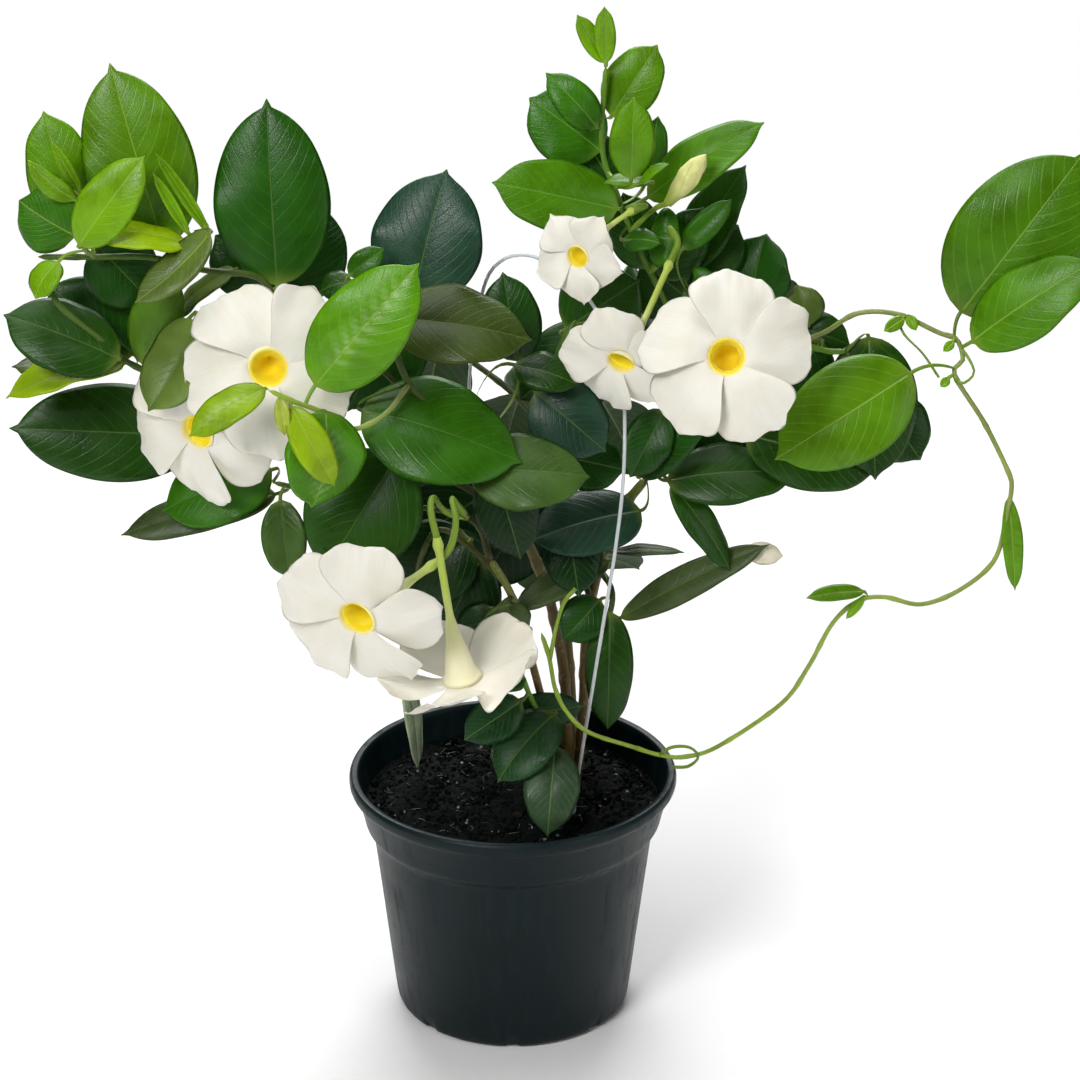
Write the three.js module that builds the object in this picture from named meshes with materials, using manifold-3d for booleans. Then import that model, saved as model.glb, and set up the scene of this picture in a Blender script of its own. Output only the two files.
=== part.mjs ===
// A white mandevilla in a nursery pot: crown stems that climb a thin hoop, leafy shoots, a trailing
// vine and funnel blooms with five lobes. Millimetres, +Z up, the origin in the middle of the pot's
// underside and the front of the plant towards -Y.

import * as THREE from "three";
import { mergeVertices } from "three/addons/utils/BufferGeometryUtils.js";
import Module from "manifold-3d";

// Driving dimensions of the pot, in millimetres.
const POT_HEIGHT = 132;
const RIM_RADIUS = 85;
const LIP_HEIGHT = 7;
const COLLAR_TOP_RADIUS = 82;
const COLLAR_FOOT_RADIUS = 76.8;
const COLLAR_HEIGHT = 27;
const BODY_TOP_RADIUS = 73;
const BASE_RADIUS = 61.5;
const BASE_CORNER = 5;
const WALL = 2.2;
const FLOOR = 2.5;
const POT_SEGMENTS = 32;

// The compost fill, a little below the rim, and how deep the plant and the hoop stand in it.
const SOIL_TOP = 117;
const SOIL_FOOT = 6;
const HOOP_DEPTH = 60;
const GAP = 0.3;

// How far a face may move where the triangles left by joining are merged.
const SLACK = 0.14;

// Thickness of every leaf blade and petal, and the radius of a leaf's petiole.
const BLADE = 0.8;
const PETAL = 0.9;
const PETIOLE_RADIUS = 1;

// How far a blade's margin turns down, and how high it ripples, as shares of its width.
const MARGIN_TURN = 0.22;
const WAVE = 0.035;

// Where a leaf is widest, as a share of its length, and how blunt its ends are; and how blunt a lobe
// of a bloom is, and its width as a share of its reach.
const LEAF_WIDEST = 0.44;
const LEAF_BLUNTNESS = 0.54;
const LOBE_BLUNTNESS = 1.1;
const LOBE_WIDTH = 1;

// The wire of the hoop, and the length of one straight step of a stem.
const HOOP_RADIUS = 1.3;
const HOOP_STEPS = 32;
const STEM_STEP = 30;
const STEM_SIDES = 5;
const ROD_SIDES = 6;

const DARK_GREEN = { color: 0x1f4a22, roughness: 0.42, metalness: 0 };
const MID_GREEN = { color: 0x3d7a1c, roughness: 0.42, metalness: 0 };
const YOUNG_GREEN = { color: 0x6fa51f, roughness: 0.4, metalness: 0 };
const BARK = { color: 0x6b5637, roughness: 0.85, metalness: 0 };
const IVORY = { color: 0xf5f0e6, roughness: 0.55, metalness: 0 };
const CREAM = { color: 0xe9e6b4, roughness: 0.5, metalness: 0 };
const BLACK_PLASTIC = { color: 0x1b262c, roughness: 0.45, metalness: 0 };
const COMPOST = { color: 0x14171a, roughness: 0.95, metalness: 0 };
const PALE_WIRE = { color: 0xd9dde0, roughness: 0.35, metalness: 0 };

// Where the upper side of a blade looks.
const FRONT = new THREE.Vector3(0, -0.92, 0.4);
const FRONT_LEFT = new THREE.Vector3(-0.5, -0.8, 0.35);
const FRONT_RIGHT = new THREE.Vector3(0.5, -0.8, 0.35);
const FRONT_UP = new THREE.Vector3(0, -0.65, 0.75);
const UP = new THREE.Vector3(0, -0.2, 1);
const UP_LEFT = new THREE.Vector3(-0.5, -0.2, 0.85);
const BACK = new THREE.Vector3(0, 0.92, 0.3);
const BACK_UP = new THREE.Vector3(0, 0.6, 0.8);

const { Manifold, Mesh: SolidMesh } = await loadSolids();

async function loadSolids() {
  const wasm = await Module();
  wasm.setup();
  return wasm;
}

// Solids and geometries ------------------------------------------------------------------------

// A closed geometry as a solid: vertices that meet are merged, and triangles that collapsed at a
// pole or a point are left out.
function solidOf(geometry) {
  const bare = geometry.index ? geometry.toNonIndexed() : geometry.clone();
  bare.deleteAttribute("normal");
  bare.deleteAttribute("uv");
  const merged = mergeVertices(bare, 1e-3);
  const index = merged.index.array;
  const kept = [];
  for (let i = 0; i < index.length; i += 3) {
    const [a, b, c] = index.slice(i, i + 3);
    if (a !== b && b !== c && c !== a) kept.push(a, b, c);
  }
  return new Manifold(
    new SolidMesh({
      numProp: 3,
      vertProperties: merged.attributes.position.array,
      triVerts: new Uint32Array(kept),
    }),
  );
}

// The geometry of a solid's largest body, so that loose scraps are dropped and sealed hollows filled.
function geometryOf(solid) {
  const bodies = solid.decompose().sort((a, b) => b.volume() - a.volume());
  const mesh = bodies[0].getMesh();
  const geometry = new THREE.BufferGeometry();
  geometry.setAttribute("position", new THREE.BufferAttribute(mesh.vertProperties, 3));
  geometry.setIndex(new THREE.BufferAttribute(mesh.triVerts, 1));
  geometry.computeVertexNormals();
  return geometry;
}

function joined(solids) {
  return solids.reduce((whole, piece) => whole.add(piece));
}

// A piece cut clear of what it grows on, with the triangles left over by joining merged.
function seatedOn(name, solid) {
  return solid.subtract(grownStems(name)).asOriginal().simplify(SLACK);
}

function curveThrough(path) {
  const points = path.map((p) => new THREE.Vector3(...p));
  return new THREE.CatmullRomCurve3(points, false, "catmullrom", 0.5);
}

function regularOutline(radius, sides) {
  const shape = new THREE.Shape();
  for (let i = 0; i < sides; i++) {
    const angle = (2 * Math.PI * i) / sides;
    const x = radius * Math.cos(angle);
    const y = radius * Math.sin(angle);
    if (i === 0) shape.moveTo(x, y);
    else shape.lineTo(x, y);
  }
  shape.closePath();
  return shape;
}

// A round rod along a curve.
function rod(curve, radius, sides, steps) {
  const outline = regularOutline(radius, sides);
  return solidOf(new THREE.ExtrudeGeometry(outline, { steps, extrudePath: curve }));
}

function stemSteps(curve) {
  return Math.max(3, Math.round(curve.getLength() / STEM_STEP));
}

function stemRod(path, radius) {
  const curve = curveThrough(path);
  return rod(curve, radius, STEM_SIDES, stemSteps(curve));
}

// A turned piece about a vertical axis, from [radius, height] points given from the axis outwards.
function turned(profile, segments) {
  const points = profile.map(([radius, height]) => new THREE.Vector2(radius, height));
  const geometry = new THREE.LatheGeometry(points, segments);
  geometry.rotateX(Math.PI / 2);
  return geometry;
}

// Blades ---------------------------------------------------------------------------------------

// Half the width at the share t of a blade's length: widest at the share `widest`, round at the
// base and drawn out to a point.
function halfWidth(t, width, widest, bluntness) {
  const tipPower = (bluntness * (1 - widest)) / widest;
  return 0.5 * width * Math.pow(t / widest, bluntness) * Math.pow((1 - t) / (1 - widest), tipPower);
}

// The middle surface of a leaf as a function of t along it and s across, from -1 to 1. From t = -1 to
// 0 it is the petiole. From 0 to 1 it is the blade: its halves rise from the midrib by `fold` degrees
// and turn down again at the margin, and the midrib bows by `arch` between base and tip.
function leafSurface(root, base, tip, width, faces, fold, arch) {
  const chord = tip.clone().sub(base);
  const along = chord.clone().normalize();
  const normal = faces.clone().addScaledVector(along, -faces.dot(along)).normalize();
  const across = along.clone().cross(normal);
  const foldAngle = THREE.MathUtils.degToRad(fold);
  const knee = base.clone().addScaledVector(along, -0.4 * root.distanceTo(base));
  const petiole = new THREE.QuadraticBezierCurve3(root, knee, base);
  return (t, s) => {
    if (t <= 0) return petiole.getPoint(1 + t).addScaledVector(across, PETIOLE_RADIUS * s);
    const half = Math.max(halfWidth(t, width, LEAF_WIDEST, LEAF_BLUNTNESS), t < 0.1 ? PETIOLE_RADIUS : 0);
    const span = 4 * t * (1 - t);
    const phase = 2 * Math.PI * (1.4 * t + 0.25 * Math.sign(s));
    const ripple = WAVE * width * Math.sin(phase) * s * s * span;
    const lift = half * (Math.sin(foldAngle) * Math.abs(s) - MARGIN_TURN * s * s) + arch * span + ripple;
    return base
      .clone()
      .addScaledVector(chord, t)
      .addScaledVector(across, half * Math.cos(foldAngle) * s)
      .addScaledVector(normal, lift);
  };
}

// A closed blade about a middle surface, of a thickness given along it: a plane is bent onto the
// surface at the shares `rows` above and, split into the same triangles, below, and a rim joins the two.
function blade(surface, thickness, rows, stepsAcross) {
  const stepsAlong = rows.length - 1;
  const plane = new THREE.PlaneGeometry(2, stepsAlong, stepsAcross, stepsAlong);
  const flat = plane.attributes.position;
  const count = flat.count;
  const positions = new Float32Array(count * 6);
  const step = 0.01;
  const lastInner = 0.97;
  for (let i = 0; i < count; i++) {
    const t = rows[Math.round(flat.getY(i) + stepsAlong / 2)];
    const s = t < 1 ? flat.getX(i) : 0;
    const middle = surface(t, s);
    const inner = Math.min(t, lastInner);
    const alongIt = surface(inner + step, s).sub(surface(inner - step, s));
    const acrossIt = surface(inner, s + step).sub(surface(inner, s - step));
    const normal = acrossIt.cross(alongIt).normalize().multiplyScalar(thickness(t) / 2);
    middle.clone().add(normal).toArray(positions, 3 * i);
    middle.clone().sub(normal).toArray(positions, 3 * (count + i));
  }
  const index = [];
  const faces = plane.index.array;
  for (let i = 0; i < faces.length; i += 3) {
    const [a, b, c] = faces.slice(i, i + 3);
    index.push(a, b, c, count + a, count + c, count + b);
  }
  const row = stepsAcross + 1;
  const rim = [];
  for (let i = 0; i < stepsAcross; i++) rim.push(i);
  for (let j = 0; j < stepsAlong; j++) rim.push(j * row + stepsAcross);
  for (let i = stepsAcross; i > 0; i--) rim.push(stepsAlong * row + i);
  for (let j = stepsAlong; j > 0; j--) rim.push(j * row);
  rim.forEach((a, k) => {
    const b = rim[(k + 1) % rim.length];
    index.push(a, b, count + a, b, count + b, count + a);
  });
  const geometry = new THREE.BufferGeometry();
  geometry.setAttribute("position", new THREE.BufferAttribute(positions, 3));
  geometry.setIndex(index);
  return solidOf(geometry);
}

// Shares of a leaf's length at which its rows of points stand, for three lengths of leaf.
const LARGE_ROWS = [-1, 0, 0.12, 0.32, 0.58, 0.82, 1];
const MIDDLE_ROWS = [-1, 0, 0.18, 0.48, 0.8, 1];
const SMALL_ROWS = [-1, 0, 0.3, 0.7, 1];
const LARGE_LENGTH = 60;
const MIDDLE_LENGTH = 32;
const BROAD_WIDTH = 52;

// How much of a stem, from its start, is taken up by the seat on what it grows on.
const SEAT_LENGTH = 6;

// The stations that the straight steps of a stem run between.
function stationsOf({ path }) {
  const curve = curveThrough(path);
  return curve.getSpacedPoints(stemSteps(curve));
}

// The point nearest to a place on the straight steps between stations.
function nearestOn(stations, place) {
  const step = new THREE.Line3();
  const nearest = stations.slice(1).map((end, i) => {
    step.set(stations[i], end);
    return step.closestPointToPoint(place, true, new THREE.Vector3());
  });
  return nearest.reduce((best, p) => (p.distanceTo(place) < best.distanceTo(place) ? p : best));
}

// The point of a stem nearest to a place, a little past the end where the stem itself is seated.
function rootOn(stem, place) {
  const [first, second, ...rest] = stationsOf(stem);
  const share = Math.min(0.5, SEAT_LENGTH / first.distanceTo(second));
  return nearestOn([first.lerp(second, share), second, ...rest], place);
}

// A leaf, whose petiole starts inside the stem; `extra` thickens it, for cutting a seat on it.
function leaf(stem, [base, tip, width, faces, fold, arch], extra = 0) {
  const from = new THREE.Vector3(...base);
  const to = new THREE.Vector3(...tip);
  const length = from.distanceTo(to);
  const shortRows = length > MIDDLE_LENGTH ? MIDDLE_ROWS : SMALL_ROWS;
  const rows = length > LARGE_LENGTH ? LARGE_ROWS : shortRows;
  const surface = leafSurface(rootOn(stem, from), from, to, width, faces, fold, arch);
  const thickness = (t) => (t < 0.05 ? 2 * PETIOLE_RADIUS : BLADE) + extra;
  return blade(surface, thickness, rows, width > BROAD_WIDTH ? 4 : 2);
}

// The plant ------------------------------------------------------------------------------------

// The woody stems from the crown, each a rod along hand-placed points.
const CROWN_STEMS = [
  {
    radius: 2.8,
    path: [
      [29, 7, 107], [28, 6, 128], [28, 4, 170], [24, 6, 203], [16, 2, 239], [2, -8, 276],
      [-15, -18, 307],
    ],
  },
  {
    radius: 2.6,
    path: [
      [29, 7, 107], [34, 10, 126], [37, 12, 166], [38, 14, 199], [43, 14, 233], [53, 12, 268],
      [68, 8, 292],
    ],
  },
  {
    radius: 2.4,
    path: [
      [29, 7, 107], [31, 18, 123], [31, 26, 159], [28, 34, 202], [25, 42, 243], [28, 46, 287],
    ],
  },
  {
    radius: 2.1,
    path: [
      [29, 7, 107], [25, 0, 129], [18, -10, 165], [10, -22, 205], [1, -34, 244], [-10, -44, 270],
    ],
  },
];
const CROWN_POINT = new THREE.Vector3(29, 7, 104);
const CROWN_STUB_RADIUS = 8;
const CROWN_STUB_HEIGHT = 40;

// Every leafy shoot: the piece it grows on, its stem, the stalks of its blooms, and its leaves as
// base, tip, width, where the blade faces, fold in degrees and bow of the midrib.
const SHOOTS = [
  {
    name: "shoot_left_high",
    on: "crown_stems",
    colour: DARK_GREEN,
    stemRadius: 1.6,
    stem: [
      [-15, -18, 307], [-54, -18, 351], [-86, -18, 381], [-111, -20, 396], [-123, -22, 410],
      [-148, -24, 414], [-173, -26, 421], [-200, -28, 422], [-227, -28, 422],
    ],
    stalks: [
      {
        radius: 1.3,
        path: [
          [-111, -20, 396], [-116, -30, 383], [-117, -39, 375],
        ],
      },
    ],
    leaves: [
      [[-113, -20, 405], [-117, 0, 493], 57, FRONT, 8, 5],
      [[-114, 6, 390], [-91, 24, 431], 48, FRONT, 10, 4],
      [[-119, 5, 396], [-145, 8, 421], 36, FRONT, 14, 4],
      [[-201, -12, 423], [-175, -14, 394], 38, FRONT, 6, 3],
      [[-134, -13, 410], [-166, -9, 382], 26, UP_LEFT, 10, 4],
    ],
  },
  {
    name: "young_left_top",
    on: "shoot_left_high",
    colour: YOUNG_GREEN,
    stemRadius: 1.2,
    stem: [
      [-199, -28, 422], [-204, -36, 430], [-207, -30, 444], [-207, -24, 460],
    ],
    leaves: [
      [[-205, -43, 433], [-172, -41, 477], 28, FRONT, 14, 4],
      [[-208, -19, 432], [-223, -11, 490], 34, FRONT, 6, 4],
      [[-208, -32, 434], [-235, -26, 450], 34, FRONT_LEFT, 8, 3],
      [[-205, -30, 456], [-217, -34, 482], 9, FRONT, 40, 2],
      [[-207, -32, 452], [-228, -38, 474], 14, FRONT_LEFT, 30, 3],
      [[-216, -38, 423], [-227, -46, 407], 18, FRONT_LEFT, 10, 3],
    ],
  },
  {
    name: "young_left_mid",
    on: "shoot_left_high",
    colour: YOUNG_GREEN,
    stemRadius: 1.2,
    stem: [
      [-153, -25, 416], [-154, -28, 424], [-155, -29, 430], [-151, -29, 435],
    ],
    leaves: [
      [[-167, -21, 425], [-191, -5, 512], 54, FRONT, 8, 6],
      [[-155, -33, 430], [-200, -36, 436], 28, UP, 6, 4],
      [[-145, -29, 436], [-168, -33, 476], 10, FRONT, 50, -3],
      [[-154, -33, 436], [-169, -39, 468], 9, FRONT, 50, -3],
      [[-143, -40, 438], [-179, -52, 407], 22, FRONT_LEFT, 14, -4],
    ],
  },
  {
    name: "shoot_left_low",
    on: "crown_stems",
    colour: DARK_GREEN,
    stemRadius: 1.6,
    stem: [
      [2, -8, 276], [-20, -22, 298], [-45, -26, 311], [-84, -20, 319], [-124, -14, 332],
      [-158, -16, 349], [-186, -24, 366], [-198, -36, 383], [-215, -42, 401], [-222, -40, 413],
    ],
    stalks: [
      {
        radius: 1.3,
        path: [
          [-129, -16, 336], [-141, -28, 338],
        ],
      },
    ],
    leaves: [
      [[-185, -12, 366], [-226, -8, 401], 42, FRONT, 6, 4],
      [[-189, -40, 374], [-245, -32, 394], 40, FRONT_UP, 8, 3],
      [[-179, -22, 364], [-164, -22, 414], 27, FRONT, 6, 3],
      [[-152, -37, 393], [-175, -51, 351], 38, FRONT_LEFT, 16, -4],
      [[-188, -30, 368], [-245, -41, 354], 34, UP, 18, 5],
      [[-204, -14, 358], [-245, -16, 361], 26, UP, 6, 3],
      [[-155, 0, 318], [-249, -12, 327], 50, FRONT, 8, 5],
    ],
  },
  {
    name: "shoot_centre_left",
    on: "crown_stems",
    colour: DARK_GREEN,
    stemRadius: 1.75,
    stem: [
      [2, -8, 276], [-9, -36, 320], [-29, -40, 343], [-49, -40, 361], [-57, -36, 388], [-52, -18, 397],
    ],
    leaves: [
      [[-72, -44, 349], [6, -53, 325], 57, FRONT_UP, 8, 6],
      [[-59, -40, 395], [11, -44, 385], 44, FRONT_UP, 10, 5],
      [[-48, -6, 391], [-31, 14, 453], 56, FRONT_UP, 10, 4],
      [[-53, 1, 390], [-81, -13, 336], 50, FRONT, 6, 3],
      [[-78, -20, 410], [-61, -18, 423], 14, FRONT, 16, 2],
      [[-77, -14, 405], [-93, -14, 399], 16, FRONT_UP, 10, 2],
      [[4, 0, 358], [-4, 8, 402], 30, FRONT, 8, 4],
      [[2, -21, 364], [33, -28, 356], 22, FRONT_UP, 8, 3],
      [[-8, -47, 321], [5, -53, 274], 32, FRONT, 8, 3],
    ],
  },
  {
    name: "shoot_left_front",
    on: "shoot_centre_left",
    colour: YOUNG_GREEN,
    stemRadius: 1.3,
    stem: [
      [-49, -40, 361], [-60, -56, 352], [-76, -66, 348], [-90, -76, 361], [-102, -86, 370],
      [-113, -92, 378],
    ],
    leaves: [
      [[-92, -78, 375], [-42, -74, 435], 43, FRONT, 10, 5],
      [[-115, -90, 378], [-151, -96, 356], 20, FRONT_UP, 16, 4],
      [[-103, -88, 368], [-83, -92, 329], 20, FRONT, 24, 4],
      [[-88, -77, 362], [-95, -85, 315], 43, FRONT_RIGHT, 12, 8],
      [[-108, -88, 373], [-106, -92, 355], 8, FRONT, 20, 2],
    ],
  },
  {
    name: "shoot_left_under",
    on: "crown_stems",
    colour: DARK_GREEN,
    stemRadius: 1.45,
    stem: [
      [-10, -44, 270], [-20, -40, 290], [-55, -38, 297], [-84, -36, 300], [-117, -36, 308],
    ],
    stalks: [
      {
        radius: 1.6,
        path: [
          [-20, -42, 291], [-31, -62, 303], [-37, -72, 315], [-38, -78, 310], [-35, -80, 296],
        ],
      },
      {
        radius: 1.6,
        path: [
          [-20, -42, 291], [-25, -66, 308], [-28, -74, 315], [-26, -80, 306], [-29, -78, 291],
          [-36, -78, 283],
        ],
      },
    ],
    leaves: [
      [[-119, -15, 306], [-174, -19, 285], 42, FRONT_UP, 8, 4],
      [[-118, -8, 290], [-196, -14, 270], 24, FRONT_UP, 8, 4],
      [[-113, -42, 301], [-109, -50, 262], 26, FRONT, 30, 3],
      [[-55, -46, 326], [-92, -60, 269], 58, FRONT, 8, 5],
    ],
  },
  {
    name: "shoot_centre",
    on: "crown_stems",
    colour: DARK_GREEN,
    stemRadius: 1.75,
    stem: [
      [41, 14, 222], [30, 4, 260], [24, 0, 284], [20, -10, 315], [18, -10, 341], [24, -6, 366],
      [32, -4, 381],
    ],
    leaves: [
      [[-20, -51, 319], [39, -49, 316], 42, FRONT_UP, 8, 5],
      [[12, -16, 348], [47, -26, 320], 38, FRONT, 8, 4],
      [[27, -9, 283], [34, -27, 242], 32, FRONT, 8, 3],
      [[24, -1, 308], [57, -6, 302], 30, FRONT, 8, 3],
      [[17, 26, 290], [-17, 21, 224], 50, FRONT, 6, 3],
      [[-3, 20, 286], [-57, 7, 253], 50, FRONT, 6, 3],
      [[27, 13, 370], [64, 13, 396], 44, FRONT, 6, 3],
      [[44, 16, 369], [4, 0, 337], 36, FRONT, 6, 3],
    ],
  },
  {
    name: "shoot_right_inner",
    on: "crown_stems",
    colour: DARK_GREEN,
    stemRadius: 1.8,
    stem: [
      [68, 8, 292], [70, 6, 298], [74, 2, 315], [78, 0, 337], [84, 0, 369], [86, 2, 395],
    ],
    leaves: [
      [[65, -1, 278], [9, -26, 272], 38, FRONT_UP, 8, 5],
      [[84, -1, 417], [108, 3, 441], 14, FRONT, 16, 2],
      [[78, -7, 297], [144, -6, 301], 35, FRONT_UP, 8, 5],
      [[80, -8, 295], [110, -15, 251], 18, FRONT_RIGHT, 8, 4],
      [[64, -8, 300], [101, -20, 343], 24, FRONT_UP, 10, 3],
      [[76, -10, 336], [59, -18, 303], 26, FRONT, 20, 3],
      [[89, 10, 371], [64, 0, 337], 40, FRONT, 6, 3],
      [[95, 14, 321], [125, 4, 303], 40, FRONT, 6, 3],
    ],
  },
  {
    name: "shoot_top",
    on: "shoot_right_inner",
    colour: MID_GREEN,
    stemRadius: 1.4,
    stem: [
      [84, 0, 369], [75, 8, 389], [63, 6, 414], [54, 2, 438], [46, 2, 459], [44, 2, 475], [45, 2, 492],
      [46, 2, 508],
    ],
    stalks: [
      {
        radius: 1.6,
        path: [
          [70, 7, 401], [79, 2, 417], [77, -8, 430], [81, -18, 426], [77, -30, 420],
        ],
      },
      {
        radius: 1.7,
        path: [
          [57, 3, 433], [65, -14, 443], [59, -24, 445],
        ],
      },
      {
        radius: 1.3,
        path: [
          [59, 4, 426], [70, -6, 439], [77, -12, 444],
        ],
      },
    ],
    leaves: [
      [[46, 2, 510], [32, 4, 533], 11, FRONT, 16, -2],
      [[46, 2, 510], [45, 0, 538], 11, FRONT, 16, -2],
      [[49, 6, 482], [71, 12, 516], 28, FRONT, 10, 3],
      [[42, 0, 478], [17, 2, 505], 20, FRONT, 14, 8],
      [[44, 8, 464], [9, 14, 489], 38, FRONT, 6, 3],
      [[52, -6, 439], [-9, -14, 455], 36, FRONT, 8, 4],
      [[58, -20, 459], [59, -18, 499], 23, FRONT, 12, 3],
      [[50, 12, 445], [35, 20, 469], 26, FRONT, 6, 3],
      [[66, 16, 446], [72, 20, 478], 16, FRONT, 6, 3],
      [[67, 6, 441], [123, 6, 479], 28, FRONT_UP, 10, 4],
      [[68, 13, 402], [55, 17, 440], 28, FRONT, 6, 3],
      [[75, 17, 395], [95, 19, 432], 26, FRONT, 6, 3],
      [[62, -24, 458], [76, -26, 468], 12, UP, 10, 2],
      [[67, -14, 455], [45, -18, 456], 14, UP, 10, 2],
      [[55, -6, 423], [73, -14, 424], 14, FRONT_UP, 10, 2],
      [[68, 3, 422], [83, -3, 422], 30, FRONT, 10, 2],
    ],
  },
  {
    name: "shoot_upper_right",
    on: "shoot_right_inner",
    colour: DARK_GREEN,
    stemRadius: 1.55,
    stem: [
      [86, 2, 394], [95, 14, 385], [109, 18, 381], [126, 16, 378], [140, 18, 372],
    ],
    leaves: [
      [[87, 22, 398], [116, 30, 450], 30, FRONT_LEFT, 20, 3],
      [[92, 26, 394], [113, 33, 418], 30, FRONT, 12, 3],
      [[120, 23, 378], [127, 31, 414], 42, FRONT_LEFT, 16, 3],
      [[148, 16, 371], [142, 20, 391], 22, FRONT, 14, 3],
      [[142, 22, 369], [169, 15, 361], 22, FRONT, 8, 3],
      [[89, 25, 381], [64, 25, 401], 40, FRONT, 6, 3],
      [[93, 10, 389], [104, 4, 398], 26, FRONT, 10, 3],
    ],
  },
  {
    name: "shoot_right",
    on: "shoot_upper_right",
    colour: MID_GREEN,
    stemRadius: 1.6,
    stem: [
      [119, 17, 380], [131, 4, 373], [143, 2, 367], [156, 4, 362], [166, 0, 363],
    ],
    stalks: [
      {
        radius: 1.4,
        path: [
          [138, 2, 370], [127, -4, 365], [115, -10, 367],
        ],
      },
    ],
    leaves: [
      [[177, 5, 369], [181, -17, 301], 46, FRONT, 6, 4],
      [[183, 8, 334], [205, 0, 305], 34, FRONT, 8, 3],
      [[117, -5, 321], [184, -11, 304], 40, FRONT, 6, 4],
      [[154, 11, 365], [124, 4, 320], 40, FRONT, 6, 3],
    ],
  },
  {
    name: "vine_right",
    on: "shoot_right",
    colour: YOUNG_GREEN,
    stemRadius: 1.2,
    stem: [
      [144, 2, 367], [155, -4, 375], [170, -8, 386], [189, -12, 387], [209, -16, 379], [218, -18, 376],
      [221, -22, 367], [217, -24, 360], [232, -30, 337], [244, -36, 314], [246, -38, 306],
      [244, -40, 292], [239, -42, 269], [223, -42, 253], [204, -40, 244], [186, -38, 247],
      [173, -36, 244], [161, -32, 230], [150, -26, 203], [137, -20, 179], [106, -12, 151],
      [89, -10, 144], [76, -12, 146], [61, -18, 154], [39, -38, 172], [28, -50, 189], [22, -54, 204],
      [19, -54, 221], [15, -52, 234],
    ],
    stalks: [
      {
        radius: 1.0,
        path: [
          [19, -54, 221], [22, -54, 236], [26, -52, 250], [32, -50, 257],
        ],
      },
    ],
    leaves: [
      [[220, -12, 388], [277, -3, 467], 63, FRONT, 8, 8],
      [[225, -23, 377], [281, -33, 422], 37, FRONT_LEFT, 8, 5],
      [[194, -40, 367], [128, -54, 327], 50, FRONT, 6, 6],
      [[245, -38, 300], [250, -42, 252], 12, FRONT, 30, 2],
      [[175, -38, 250], [146, -46, 250], 10, FRONT_UP, 20, 2],
    ],
  },
  {
    name: "shoot_pot",
    on: "crown_stems",
    colour: DARK_GREEN,
    stemRadius: 1.4,
    stem: [
      [22, -6, 146], [14, -24, 175], [8, -30, 192], [4, -34, 206],
    ],
    leaves: [
      [[5, -35, 188], [-24, -45, 171], 24, FRONT, 10, 3],
      [[-4, -26, 175], [37, -18, 177], 20, FRONT, 10, 3],
      [[22, -33, 180], [-7, -53, 151], 33, FRONT_LEFT, 12, 5],
      [[22, -40, 165], [18, -64, 126], 29, FRONT, 8, 8],
      [[4, -34, 206], [-21, -31, 213], 24, FRONT_UP, 10, 3],
      [[7, -33, 199], [-14, -41, 202], 16, FRONT_UP, 10, 3],
    ],
  },
  {
    name: "shoot_low",
    on: "crown_stems",
    colour: DARK_GREEN,
    stemRadius: 1.55,
    stem: [
      [45, 14, 241], [51, 2, 233], [50, -4, 223], [45, -6, 214],
    ],
    leaves: [
      [[50, -8, 225], [49, -20, 164], 25, FRONT, 8, 5],
      [[56, -1, 219], [130, -11, 264], 20, FRONT_UP, 10, 4],
      [[49, -1, 250], [0, -21, 231], 20, FRONT_UP, 24, 4],
      [[45, -6, 231], [26, -16, 213], 24, FRONT, 8, 3],
      [[51, -4, 257], [87, -10, 259], 11, UP, 6, 2],
    ],
  },
  {
    name: "shoot_low_front",
    on: "crown_stems",
    colour: DARK_GREEN,
    stemRadius: 1.2,
    stem: [
      [1, -34, 245], [-3, -46, 247], [-8, -48, 245], [-13, -47, 240],
    ],
    leaves: [
      [[-7, -34, 239], [-22, -35, 216], 28, FRONT, 8, 3],
      [[-3, -37, 243], [4, -34, 222], 20, FRONT_UP, 10, 3],
    ],
  },
  {
    name: "shoot_low_left",
    on: "crown_stems",
    colour: DARK_GREEN,
    stemRadius: 1.45,
    stem: [
      [-3, -38, 254], [-18, -34, 270], [-35, -32, 281], [-45, -30, 264], [-52, -14, 224],
      [-55, 2, 194],
    ],
    leaves: [
      [[-56, 6, 189], [-50, 22, 120], 11, FRONT_RIGHT, 12, 3],
      [[-15, -24, 261], [-36, -27, 219], 40, FRONT, 8, 3],
      [[-20, -26, 273], [-60, -26, 246], 44, FRONT, 8, 3],
      [[-37, -18, 273], [-21, -11, 234], 40, FRONT, 8, 3],
    ],
  },
  {
    name: "shoot_back_left",
    on: "crown_stems",
    colour: DARK_GREEN,
    stemRadius: 1.6,
    stem: [
      [28, 46, 287], [4, 70, 310], [-22, 86, 326], [-48, 96, 339], [-69, 100, 343],
    ],
    leaves: [
      [[-22, 90, 327], [-38, 120, 368], 44, BACK_UP, 8, 5],
      [[-48, 100, 340], [-85, 116, 365], 44, BACK_UP, 8, 5],
      [[-69, 104, 343], [-92, 130, 304], 44, BACK, 8, 5],
      [[-38, 98, 330], [-50, 120, 268], 44, BACK, 8, 5],
      [[4, 70, 313], [-7, 102, 258], 44, BACK, 8, 5],
      [[4, 74, 311], [25, 110, 334], 44, BACK_UP, 8, 5],
    ],
  },
  {
    name: "shoot_back_right",
    on: "crown_stems",
    colour: DARK_GREEN,
    stemRadius: 1.6,
    stem: [
      [27, 45, 276], [46, 74, 309], [66, 90, 330], [93, 100, 349], [113, 104, 359],
    ],
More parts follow.
